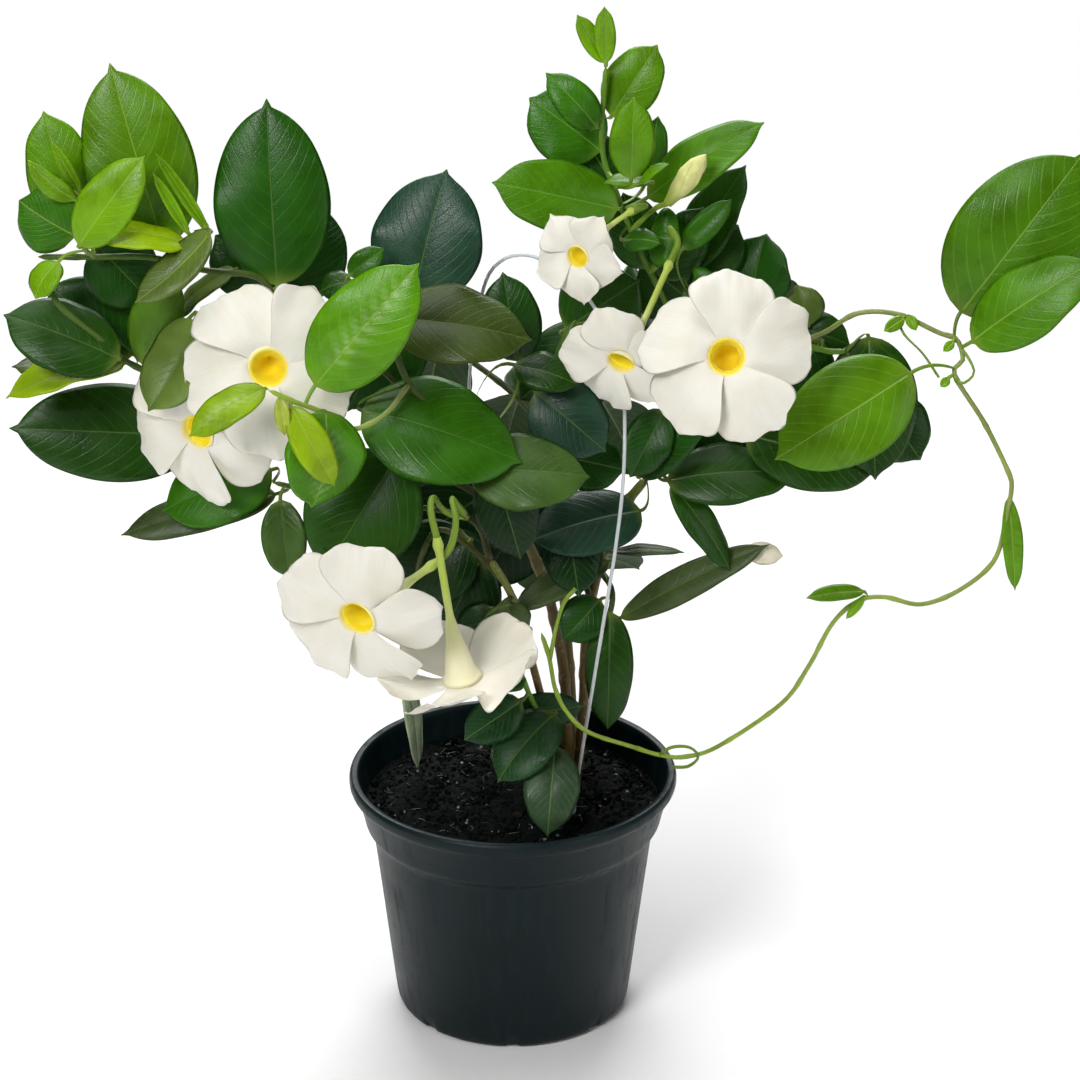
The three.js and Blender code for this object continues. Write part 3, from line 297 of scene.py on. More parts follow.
# Moist peat: black-brown and matt, in clods of about 2.4 mm, some of them with a faint damp shine.
peat, tree, shader = finish("moist_peat_compost")
place = add(tree, "TexCoord").outputs["Object"]
tone = add(tree, "Attribute", attribute_name="tone").outputs["Color"]
clods = add(tree, "TexNoise", {"Vector": place, "Scale": 420, "Detail": 8, "Roughness": 0.7})
dark = add(tree, "MapRange", {0: clods, 1: 0.3, 2: 0.75, 3: 0.35, 4: 1.9})
colour = add(tree, "VectorMath", {0: tone, "Scale": dark}, operation="SCALE")
tree.links.new(colour.outputs[0], shader.inputs["Base Color"])
wet = add(tree, "MapRange", {0: clods, 1: 0.35, 2: 0.65, 3: 0.95, 4: 0.62})
tree.links.new(wet.outputs[0], shader.inputs["Roughness"])
shader.inputs["Specular IOR Level"].default_value = 0.08
crumble = add(tree, "Bump", {"Strength": 0.7, "Distance": 0.0012, "Height": clods})
tree.links.new(crumble.outputs[0], shader.inputs["Normal"])


def path_frames(points):
    """Along, side and up at each point of a path: the side starts level and is carried along by
    taking out of it, at each step, what leans along the path."""
    along = np.gradient(points, axis=0)
    along /= np.linalg.norm(along, axis=1, keepdims=True)
    side = np.empty_like(along)
    last = np.cross(along[0], [0.1, 0.2, 1.0])
    for i, a in enumerate(along):
        last = last - a * (last @ a)
        last = last / np.linalg.norm(last)
        side[i] = last
    return along, side, np.cross(along, side)


def rod(points, radii, sides):
    """A round rod: at each point of the path a circle of that radius, p + r (side cos a + up sin a)."""
    _, side, up = path_frames(points)
    angle = np.linspace(0, 2 * np.pi, sides, endpoint=False)[None, :, None]
    r = np.broadcast_to(radii, (len(points),))[:, None, None]
    return points[:, None] + r * (side[:, None] * np.cos(angle) + up[:, None] * np.sin(angle))


FIBRE_RADIUS, FIBRE_LIFT = 0.17, 0.9
fibre_lofts = []
for start, length in zip(*scattered(FIBRES, 2, 6.5, 71)):
    turn = chance.uniform(0, 2 * np.pi)
    t = np.linspace(0, 1, 5)[:, None]
    bend = np.array([-math.sin(turn), math.cos(turn), 0]) * length * chance.uniform(-0.25, 0.25)
    heading = np.array([math.cos(turn), math.sin(turn), 0.08])
    run = start + np.array([0, 0, FIBRE_LIFT]) + t * length * heading + 4 * t * (1 - t) * bend
    shade = pigment("#5f5e58") * chance.uniform(0.3, 1.8)
    fibre_lofts.append({"grid": rod(run, FIBRE_RADIUS, 4), "tone": shade})
soil = lofted("soil_bed", [{"grid": soil_grid, "tone": pigment("#030807")}, *fibre_lofts], peat)
bit_mesh = bpy.data.meshes.new("soil_bits")
bit_index = (ball_faces[None] + corners * np.arange(len(bits))[:, None, None]).reshape(-1, 3)
bit_mesh.from_pydata((bits.reshape(-1, 3) * MM).tolist(), [], bit_index.tolist())
bit_rgba = np.column_stack([np.repeat(bit_tone, corners, axis=0), np.ones(corners * len(bits))])
bit_mesh.attributes.new("tone", "FLOAT_COLOR", "POINT").data.foreach_set("color", bit_rgba.ravel())
bit_mesh.materials.append(peat)
soil_bits = bpy.data.objects.new("soil_bits", bit_mesh)
bpy.context.collection.objects.link(soil_bits)
for piece in (soil, soil_bits):
    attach(piece, "root")
    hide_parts("soil")


# ---- Hoop ---------------------------------------------------------------------------------------
# The support that the vine was sold on: one length of steel wire in pale plastic, bent into an arch,
# with both legs pushed into the compost.

HOOP_PATH = [
    [32, -22, 118], [36, -26, 156], [40, -28, 185], [44, -30, 214], [49, -32, 250], [52, -34, 273],
    [55, -34, 303], [56, -28, 329], [55, -10, 347], [47, 2, 374], [32, 6, 397], [15, 6, 409], [4, 10, 410],
    [-5, 12, 406], [-12, 14, 396], [-17, 16, 374], [-21, 22, 340], [-21, 30, 293], [-20, 38, 234],
    [-18, 46, 173], [-17, 54, 113],
]
HOOP_RADIUS = 0.9
HOOP_DEPTH = 60


def spline(path, spacing):
    """A Catmull-Rom curve through the path's points, its end spans mirrored, walked at an even step."""
    p = np.array(path, float)
    p = np.concatenate([[2 * p[0] - p[1]], p, [2 * p[-1] - p[-2]]])
    t = np.linspace(0, 1, 24, endpoint=False)[:, None]
    spans = []
    for a, b, c, d in zip(p[:-3], p[1:-2], p[2:-1], p[3:]):
        curve = 2 * b + (c - a) * t + (2 * a - 5 * b + 4 * c - d) * t ** 2
        spans.append(0.5 * (curve + (3 * b - a - 3 * c + d) * t ** 3))
    fine = np.concatenate([*spans, p[-2:-1]])
    run = np.concatenate([[0], np.cumsum(np.linalg.norm(np.diff(fine, axis=0), axis=1))])
    even = np.linspace(0, run[-1], max(4, int(run[-1] / spacing)))
    return np.stack([np.interp(even, run, fine[:, i]) for i in range(3)], -1)


# Plastic drawn over steel wire: pale grey and smooth, with a soft highlight and grime in patches of
# about 11 mm.
wire, tree, shader = finish("plastic_coated_wire")
place = add(tree, "TexCoord").outputs["Object"]
grime = add(tree, "TexNoise", {"Vector": place, "Scale": 90, "Detail": 4})
colour = add(tree, "Mix", {0: grime, 6: linear("#d9dddf"), 7: linear("#aeb5b9")}, data_type="RGBA")
tree.links.new(colour.outputs[2], shader.inputs["Base Color"])
shader.inputs["Roughness"].default_value = 0.36
feet = [[x, y, z - HOOP_DEPTH] for x, y, z in (HOOP_PATH[0], HOOP_PATH[-1])]
hoop_points = spline([feet[0], *HOOP_PATH, feet[1]], 4)
hoop = lofted("hoop_wire", [{"grid": rod(hoop_points, HOOP_RADIUS, 12), "tone": pigment("#e3e7e9")}], wire)
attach(hoop, "root")
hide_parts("hoop")


# ---- Crown --------------------------------------------------------------------------------------
# The woody main stems: smooth brown bark with swollen joints where old leaves fell, turning olive
# where the wood is young, all from one short stub in the compost.

CROWN_STEMS = [
    (2.8, [
        (29, 7, 107), (28, 6, 128), (28, 4, 170), (24, 6, 203), (16, 2, 239), (2, -8, 276),
        (-15, -18, 307),
    ]),
    (2.6, [
        (29, 7, 107), (34, 10, 126), (37, 12, 166), (38, 14, 199), (43, 14, 233), (53, 12, 268),
        (68, 8, 292),
    ]),
    (2.4, [
        (29, 7, 107), (31, 18, 123), (31, 26, 159), (28, 34, 202), (25, 42, 243), (28, 46, 287),
    ]),
    (2.1, [
        (29, 7, 107), (25, 0, 129), (18, -10, 165), (10, -22, 205), (1, -34, 244), (-10, -44, 270),
    ]),
]
STUB_MIDDLE, STUB_RADIUS, STUB_HEIGHT = 104, 8, 40
STEM_STEP, STEM_SIDES, JOINT_REACH = 3, 14, 2.2


def jointed(points, radius, gap, swell):
    """Radii along a stem: a slight taper, at every `gap` mm a joint that swells it by a share, times
    exp(-(distance / reach)^2), and an end rounded off over twice its radius."""
    run = np.concatenate([[0], np.cumsum(np.linalg.norm(np.diff(points, axis=0), axis=1))])
    off = np.abs((run / gap + 0.3) % 1 - 0.5) * gap
    end = np.sqrt(np.clip(1 - np.clip(1 - (run[-1] - run) / (2 * radius), 0, 1) ** 2, 0.02, 1))
    return radius * (1.04 - 0.12 * run / run[-1]) * (1 + swell * np.exp(-(off / JOINT_REACH) ** 2)) * end


# The bark of a climbing stem is matt, with fibres along it and pale pores about 4 mm apart. The
# fibres are about 0.3 mm wide; they are drawn 1.1 mm wide so that they show.
bark, tree, shader = finish("smooth_vine_bark")
place = add(tree, "TexCoord").outputs["Object"]
tone = add(tree, "Attribute", attribute_name="tone").outputs["Color"]
ribs = add(tree, "Mapping", {"Vector": place, "Scale": (900, 900, 60)})
fibres = add(tree, "TexNoise", {"Vector": ribs, "Scale": 1, "Detail": 5, "Roughness": 0.65})
specks = add(tree, "TexNoise", {"Vector": place, "Scale": 260, "Detail": 3})
light = add(tree, "MapRange", {0: fibres, 1: 0.3, 2: 0.7, 3: 0.6, 4: 1.35})
lit = add(tree, "VectorMath", {0: tone, "Scale": light}, operation="SCALE")
spot = add(tree, "MapRange", {0: specks, 1: 0.6, 2: 0.7, 3: 0, 4: 0.3})
colour = add(tree, "Mix", {0: spot, 6: lit, 7: linear("#b9a27a")}, data_type="RGBA")
tree.links.new(colour.outputs[2], shader.inputs["Base Color"])
shader.inputs["Roughness"].default_value = 0.55
bump = add(tree, "Bump", {"Strength": 0.4, "Distance": 0.0003, "Height": fibres})
tree.links.new(bump.outputs[0], shader.inputs["Normal"])

crown_lofts = []
for radius, path in CROWN_STEMS:
    run = spline(path, STEM_STEP)
    share = np.linspace(0, 1, len(run))[:, None, None]
    woody, green = pigment("#66501f"), pigment("#62691f")
    tone = woody + (green - woody) * smooth(share, 0.55, 0.95)
    grid = rod(run, jointed(run, radius, gap=34, swell=0.28), STEM_SIDES)
    crown_lofts.append({"grid": grid, "tone": tone})
foot, share = STUB_MIDDLE - STUB_HEIGHT / 2, np.linspace(0, 1, 12)
stub_path = np.array([[CROWN_X, CROWN_Y, foot + STUB_HEIGHT * t] for t in share])
stub_radii = STUB_RADIUS * (1 - 0.4 * share) * np.append(np.ones(9), [0.97, 0.85, 0.5])
crown_lofts.append({"grid": rod(stub_path, stub_radii, 20), "tone": pigment("#5a4620")})
crown = lofted("crown_wood", crown_lofts, bark)
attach(crown, "root")
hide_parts("crown_stems")


# ---- Mature shoots ------------------------------------------------------------------------------
# The leafy side stems that carry most of the plant. Leaves stand in pairs, leathery and glossy dark
# green above, dull and paler below, with a pale midrib and arching side veins.

PETIOLE_RADIUS, LEAF_WIDEST, LEAF_BLUNTNESS, OVAL_END = 1.0, 0.44, 0.54, 0.95
MARGIN_TURN, WAVE, BLADE_HALF_THICKNESS = 0.22, 0.035, 0.24
VEINS_A_SIDE, VEIN_SLANT, PETIOLE_ROWS = 11, 0.62, 9
UV_UNIT, SHOOT_SIDES = 100, 12
FACING = {
    "FRONT": (0, -0.92, 0.4), "FRONT_LEFT": (-0.5, -0.8, 0.35), "FRONT_RIGHT": (0.5, -0.8, 0.35),
    "FRONT_UP": (0, -0.65, 0.75), "UP": (0, -0.2, 1), "UP_LEFT": (-0.5, -0.2, 0.85),
    "BACK": (0, 0.92, 0.3), "BACK_UP": (0, 0.6, 0.8),
}
TONES = {
    "black_green": "#0a2a0a", "deep": "#18420a", "dark": "#1e4408", "teal": "#203e2d",
    "dark_mid": "#1e4e06", "olive_green": "#38531e", "olive": "#586e2c", "olive_brown": "#364614",
    "brownish": "#36421c", "greyish": "#3e4e28", "worn": "#1e4422", "mid": "#306606",
    "mid_bright": "#447604", "mid_gloss": "#427e06", "bright_gloss": "#579206",
    "young_gloss": "#85a808", "bright": "#528204", "young": "#6a9a06", "moss": "#476c12",
    "yellow": "#8cac08", "pale": "#9ca93a", "strap": "#b6c6a2", "mottled": "#324730",
}


def half_width(t, width, widest, bluntness):
    """Half of width times (t/widest)^b ((1-t)/(1-widest))^(b(1-widest)/widest): round base, drawn tip."""
    t = np.clip(t, 1e-6, 1 - 1e-6)
    rise, fall = t / widest, (1 - t) / (1 - widest)
    return 0.5 * width * rise ** bluntness * fall ** (bluntness * (1 - widest) / widest)


def unit(v):
    """A vector over its length."""
    return v / np.linalg.norm(v)


def nearest(points, place):
    """The point of a path nearest to a place."""
    return points[np.argmin(np.linalg.norm(points - place, axis=1))]


def leaf_loft(root, base, tip, width, faces, fold, arch, tone, seed):
    """A leaf as one closed skin. Below t = 0 a round petiole follows a quadratic curve from root to
    base. From 0 to 1 the ring flattens into the blade, an oval with a drip tip: at share s it lifts by
    half (sin(fold)|s| - 0.22 s^2) + arch 4t(1-t) + a ripple at the margin, and puckers between side
    veins, which arch forward from the midrib; the midrib stands proud below.
    A glossy leaf has a painted highlight: it is paler in streaks between the side veins along its midrib."""
    base, tip, root = (np.array(v, float) for v in (base, tip, root))
    chord = tip - base
    length = np.linalg.norm(chord)
    along = chord / length
    facing = np.array(FACING[faces], float)
    normal = unit(facing - along * (facing @ along))
    across = np.cross(along, normal)
    rows = int(np.clip(length / 2.1, 14, 44))
    columns = int(np.clip(width / 2.0, 8, 26)) // 2 * 2 + 1
    blade_t = np.linspace(0, 1, rows + 1)[1:] ** 1.08
    blade_t[-1] = 0.996
    t = np.concatenate([np.linspace(-1, 0, PETIOLE_ROWS, endpoint=False), [0.0], blade_t])
    x = np.linspace(-1, 1, columns)
    s_top = np.sign(x) * np.abs(x) ** 1.15
    s = np.concatenate([s_top, s_top[-2:0:-1]])
    upper = np.concatenate([np.ones(columns), -np.ones(columns - 2)])
    T, S = t[:, None], s[None]
    on_blade = np.clip(T, 0, 1)
    half = half_width(on_blade / OVAL_END, width, LEAF_WIDEST / OVAL_END, LEAF_BLUNTNESS)
    half = half * (T > 0) * (on_blade < OVAL_END)
    # Near the tip the blade keeps at least a short wedge, so that the drip tip isn't a thread.
    nose = np.minimum(0.15 * width, 5.5) * ((1 - on_blade) / 0.12) * smooth(on_blade, 0.55, 0.88)
    half = (half ** 3 + nose ** 3) ** (1 / 3)
    half = np.hypot(half, PETIOLE_RADIUS * (1 - smooth(T, 0, 0.12)))
    span = 4 * on_blade * (1 - on_blade)
    angle = math.radians(fold)
    blade = smooth(T, 0.0, 0.1)
    hand = np.sign(S)
    ripple = WAVE * width * np.sin(2 * np.pi * (1.4 * on_blade + 0.25 * hand)) * S ** 2 * span
    flutter = np.sin(2 * np.pi * (3.3 * on_blade + 0.37 * seed * 9 + 0.2 * hand))
    ripple = ripple + 0.012 * width * flutter * S ** 4 * span
    lift = (half * (math.sin(angle) * np.abs(S) - MARGIN_TURN * S ** 2) + ripple) * blade + arch * span
    vein_gap = max(length / VEINS_A_SIDE, 3.0)
    out = np.abs(S) * half
    from_vein = on_blade * length - VEIN_SLANT * out - 0.35 * out ** 2 / max(width, 8)
    from_vein = from_vein / vein_gap + 0.25 * hand
    pucker = 0.005 * width * np.sin(np.pi * from_vein) ** 2 * span
    pucker = pucker * np.sqrt(np.abs(S)) * (1 - S ** 2) * blade
    trough = 0.25 * np.exp(-(out / 1.1) ** 2) * blade * (1 - on_blade)
    flat = smooth(T, -0.05, 0.09)
    thin = PETIOLE_RADIUS * (1 - flat) + BLADE_HALF_THICKNESS * flat
    edge = np.sqrt(np.clip(1 - S ** 2, 0, 1)) ** np.where(T > 0, 0.6, 1.0)
    keel = 0.75 * np.exp(-(out / 0.8) ** 2) * blade * (1 - 0.8 * on_blade)
    up = lift + pucker - trough + upper[None] * thin * edge - (upper[None] < 0) * keel
    knee = base - 0.4 * np.linalg.norm(root - base) * along
    q = np.clip(1 + T, 0, 1)[..., None]
    line = (1 - q) ** 2 * root + 2 * q * (1 - q) * knee + q ** 2 * base
    line = np.where(T[..., None] > 0, base + chord * on_blade[..., None], line)
    side = half * (math.cos(angle) * blade + 1 - blade) * S
    grid = line + across * side[..., None] + normal * up[..., None]
    hue = pigment(TONES[tone])
    stalk = hue * 0.5 + pigment("#7f8f3a") * 0.5
    shade = hue + (stalk - hue) * (1 - smooth(T, -0.02, 0.1))[..., None]
    # Painted highlight: on a glossy leaf the tone is drawn towards pale green in streaks between the side
    # veins beside the midrib.
    if tone.endswith("gloss"):
        painted_highlight = 0.36 * np.exp(-(S / 0.32) ** 2) * smooth(on_blade, 0.05, 0.3)
        painted_highlight = painted_highlight * (1 - smooth(on_blade, 0.75, 1)) * np.sin(np.pi * from_vein) ** 4
        shade = shade + (pigment("#c9e3a0") - shade) * painted_highlight[..., None]
    shade = shade * (1 + 0.3 * smooth(np.abs(S), 0.94, 1.0) * blade)[..., None]
    down_blade = np.broadcast_to(on_blade * length, grid.shape[:2])
    uv = np.stack([down_blade, half * S / (1 - 0.5 * on_blade)], -1) / UV_UNIT
    under = (upper[None] < 0) * 1.0
    vein = blade * vein_gap / UV_UNIT
    return {"grid": grid, "tone": shade, "uv": uv, "vein": vein, "under": under, "seed": seed}


def leaf_skin(name, roughness, vein_colour, vein_strength, under_colour):
    """Leaf skin. Side veins run where (along - 0.62 out - 0.9 out^2) / gap, with a quarter added or
    taken by side, is near a whole number, and the midrib where out is small; both are lighter and
    sunken above, proud below. Fine netting between them is a cell pattern of 1.6 mm, and the tone
    drifts in patches of about 20 mm. Along, out and gap are in UV units of 100 mm."""
    skin, tree, shader = finish(name)
    place = add(tree, "TexCoord").outputs["Object"]
    tone = add(tree, "Attribute", attribute_name="tone")
    marks = add(tree, "Attribute", attribute_name="marks").outputs["Vector"]
    gap, under, seed = add(tree, "SeparateXYZ", {0: marks}).outputs
    along, aside, _ = add(tree, "SeparateXYZ", {0: add(tree, "UVMap", uv_map="blade")}).outputs
    out = add(tree, "Math", {0: aside}, operation="ABSOLUTE")
    bend = add(tree, "Math", {0: out, 1: out}, operation="MULTIPLY")
    slant = add(tree, "Math", {0: out, 1: -VEIN_SLANT, 2: along}, operation="MULTIPLY_ADD")
    run = add(tree, "Math", {0: bend, 1: -0.9, 2: slant}, operation="MULTIPLY_ADD")
    spacing = add(tree, "Math", {0: gap, 1: 0.001}, operation="MAXIMUM")
    count = add(tree, "Math", {0: run, 1: spacing}, operation="DIVIDE")
    hand = add(tree, "Math", {0: aside}, operation="SIGN")
    phase = add(tree, "Math", {0: hand, 1: 0.25, 2: count}, operation="MULTIPLY_ADD")
    near = add(tree, "Math", {0: phase, 1: 0.5}, operation="PINGPONG")
    # A side vein is about 0.4 mm wide; it is drawn as a soft line 0.9 mm wide so that it shows.
    line = add(tree, "MapRange", {0: near, 1: 0, 2: 0.1, 3: 1, 4: 0}, interpolation_type="SMOOTHSTEP")
    rib = add(tree, "MapRange", {0: out, 1: 0.0075, 2: 0.0015}, interpolation_type="SMOOTHSTEP")
    on_leaf = add(tree, "Math", {0: gap, 1: 0.012}, operation="GREATER_THAN")
    side_vein = add(tree, "Math", {0: line, 1: on_leaf}, operation="MULTIPLY")
    midrib = add(tree, "Math", {0: rib, 1: on_leaf}, operation="MULTIPLY")
    cells = add(tree, "TexVoronoi", {"Vector": place, "Scale": 620}, feature="DISTANCE_TO_EDGE")
    net = add(tree, "MapRange", {0: cells, 1: 0, 2: 0.12, 3: 1, 4: 0})
    pale_side = add(tree, "Math", {0: side_vein, 1: 0.3}, operation="MULTIPLY")
    pale_net = add(tree, "Math", {0: net, 1: 0.05}, operation="MULTIPLY")
    ribs = add(tree, "Math", {0: pale_side, 1: midrib}, operation="MAXIMUM")
    veins = add(tree, "Math", {0: ribs, 1: pale_net}, operation="MAXIMUM")
    patch_look = {"Vector": place, "Scale": 48, "Detail": 3, "Roughness": 0.55, "Distortion": 0.4}
    patches = add(tree, "TexNoise", patch_look)
    drift = add(tree, "MapRange", {0: patches, 1: 0.3, 2: 0.7, 3: 0.78, 4: 1.24})
    own = add(tree, "Math", {0: seed, 1: 0.28, 2: 0.86}, operation="MULTIPLY_ADD")
    amount = add(tree, "Math", {0: drift, 1: own}, operation="MULTIPLY")
    body = add(tree, "VectorMath", {0: tone, "Scale": amount}, operation="SCALE").outputs[0]
    shown = add(tree, "Math", {0: veins, 1: vein_strength}, operation="MULTIPLY")
    upper = add(tree, "Mix", {0: shown, 6: body, 7: linear(vein_colour)}, data_type="RGBA").outputs[2]
    dull = add(tree, "Mix", {0: 0.5, 6: body, 7: linear(under_colour)}, data_type="RGBA").outputs[2]
    faint = add(tree, "Math", {0: veins, 1: 0.4}, operation="MULTIPLY")
    lower = add(tree, "Mix", {0: faint, 6: dull, 7: linear("#a3ad76")}, data_type="RGBA").outputs[2]
    colour = add(tree, "Mix", {0: under, 6: upper, 7: lower}, data_type="RGBA").outputs[2]
    tree.links.new(colour, shader.inputs["Base Color"])
    gloss = add(tree, "MapRange", {0: patches, 1: 0.3, 2: 0.7, 3: roughness - 0.05, 4: roughness + 0.07})
    rough = add(tree, "Math", {0: under, 1: 0.22, 2: gloss}, operation="MULTIPLY_ADD")
    tree.links.new(rough.outputs[0], shader.inputs["Roughness"])
    proud_side = add(tree, "Math", {0: side_vein, 1: 0.25}, operation="MULTIPLY")
    proud = add(tree, "Math", {0: proud_side, 1: midrib}, operation="MAXIMUM")
    low_net = add(tree, "Math", {0: net, 1: -0.12}, operation="MULTIPLY")
    height = add(tree, "Math", {0: low_net, 1: proud}, operation="SUBTRACT")
    turned_over = add(tree, "Math", {0: under, 1: -2, 2: 1}, operation="MULTIPLY_ADD")
    signed = add(tree, "Math", {0: height, 1: turned_over}, operation="MULTIPLY")
    relief = add(tree, "Bump", {"Strength": 0.5, "Distance": 0.0005, "Height": signed})
    tree.links.new(relief.outputs[0], shader.inputs["Normal"])
    shader.inputs["IOR"].default_value = 1.45
    shader.inputs["Specular IOR Level"].default_value = 0.26
    return skin


def grow(name, carriers, radius, stem, stalks, leaves, skin, bark_tone, young_tone):
    """One shoot: its stem and stalks as jointed rods that start on the stem they grow from, darker at
    the foot than at the end, and every leaf rooted at the nearest point of the stem."""
    stem = np.array(stem, float)
    stem[0] = nearest(carriers, stem[0])
    run = spline(stem, STEM_STEP)
    old, new = pigment(bark_tone), pigment(young_tone)
    share = np.linspace(0, 1, len(run))[:, None, None]
    grid = rod(run, jointed(run, radius, gap=26, swell=0.22), SHOOT_SIDES)
    lofts = [{"grid": grid, "tone": old + (new - old) * share}]
    for stalk_radius, path in stalks:
        path = np.array(path, float)
        path[0] = nearest(run, path[0])
        line = spline(path, 2.5)
        knobbly = stalk_radius * (1 + 0.12 * np.sin(np.linspace(0, 9, len(line))))
        lofts.append({"grid": rod(line, knobbly, SHOOT_SIDES), "tone": pigment("#7d9a34")})
    draw = np.random.default_rng(sum(map(ord, name)))
    for base, tip, width, faces, fold, arch, tone in leaves:
        root = nearest(run, np.array(base, float))
        lofts.append(leaf_loft(root, base, tip, width, faces, fold, arch, tone, draw.random()))
    piece = lofted(name + "_grown", lofts, skin)
    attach(piece, "root")
    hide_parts(name)
    stems_of[name] = run


stems_of = {"crown_stems": np.concatenate([spline(path, STEM_STEP) for _, path in CROWN_STEMS])}

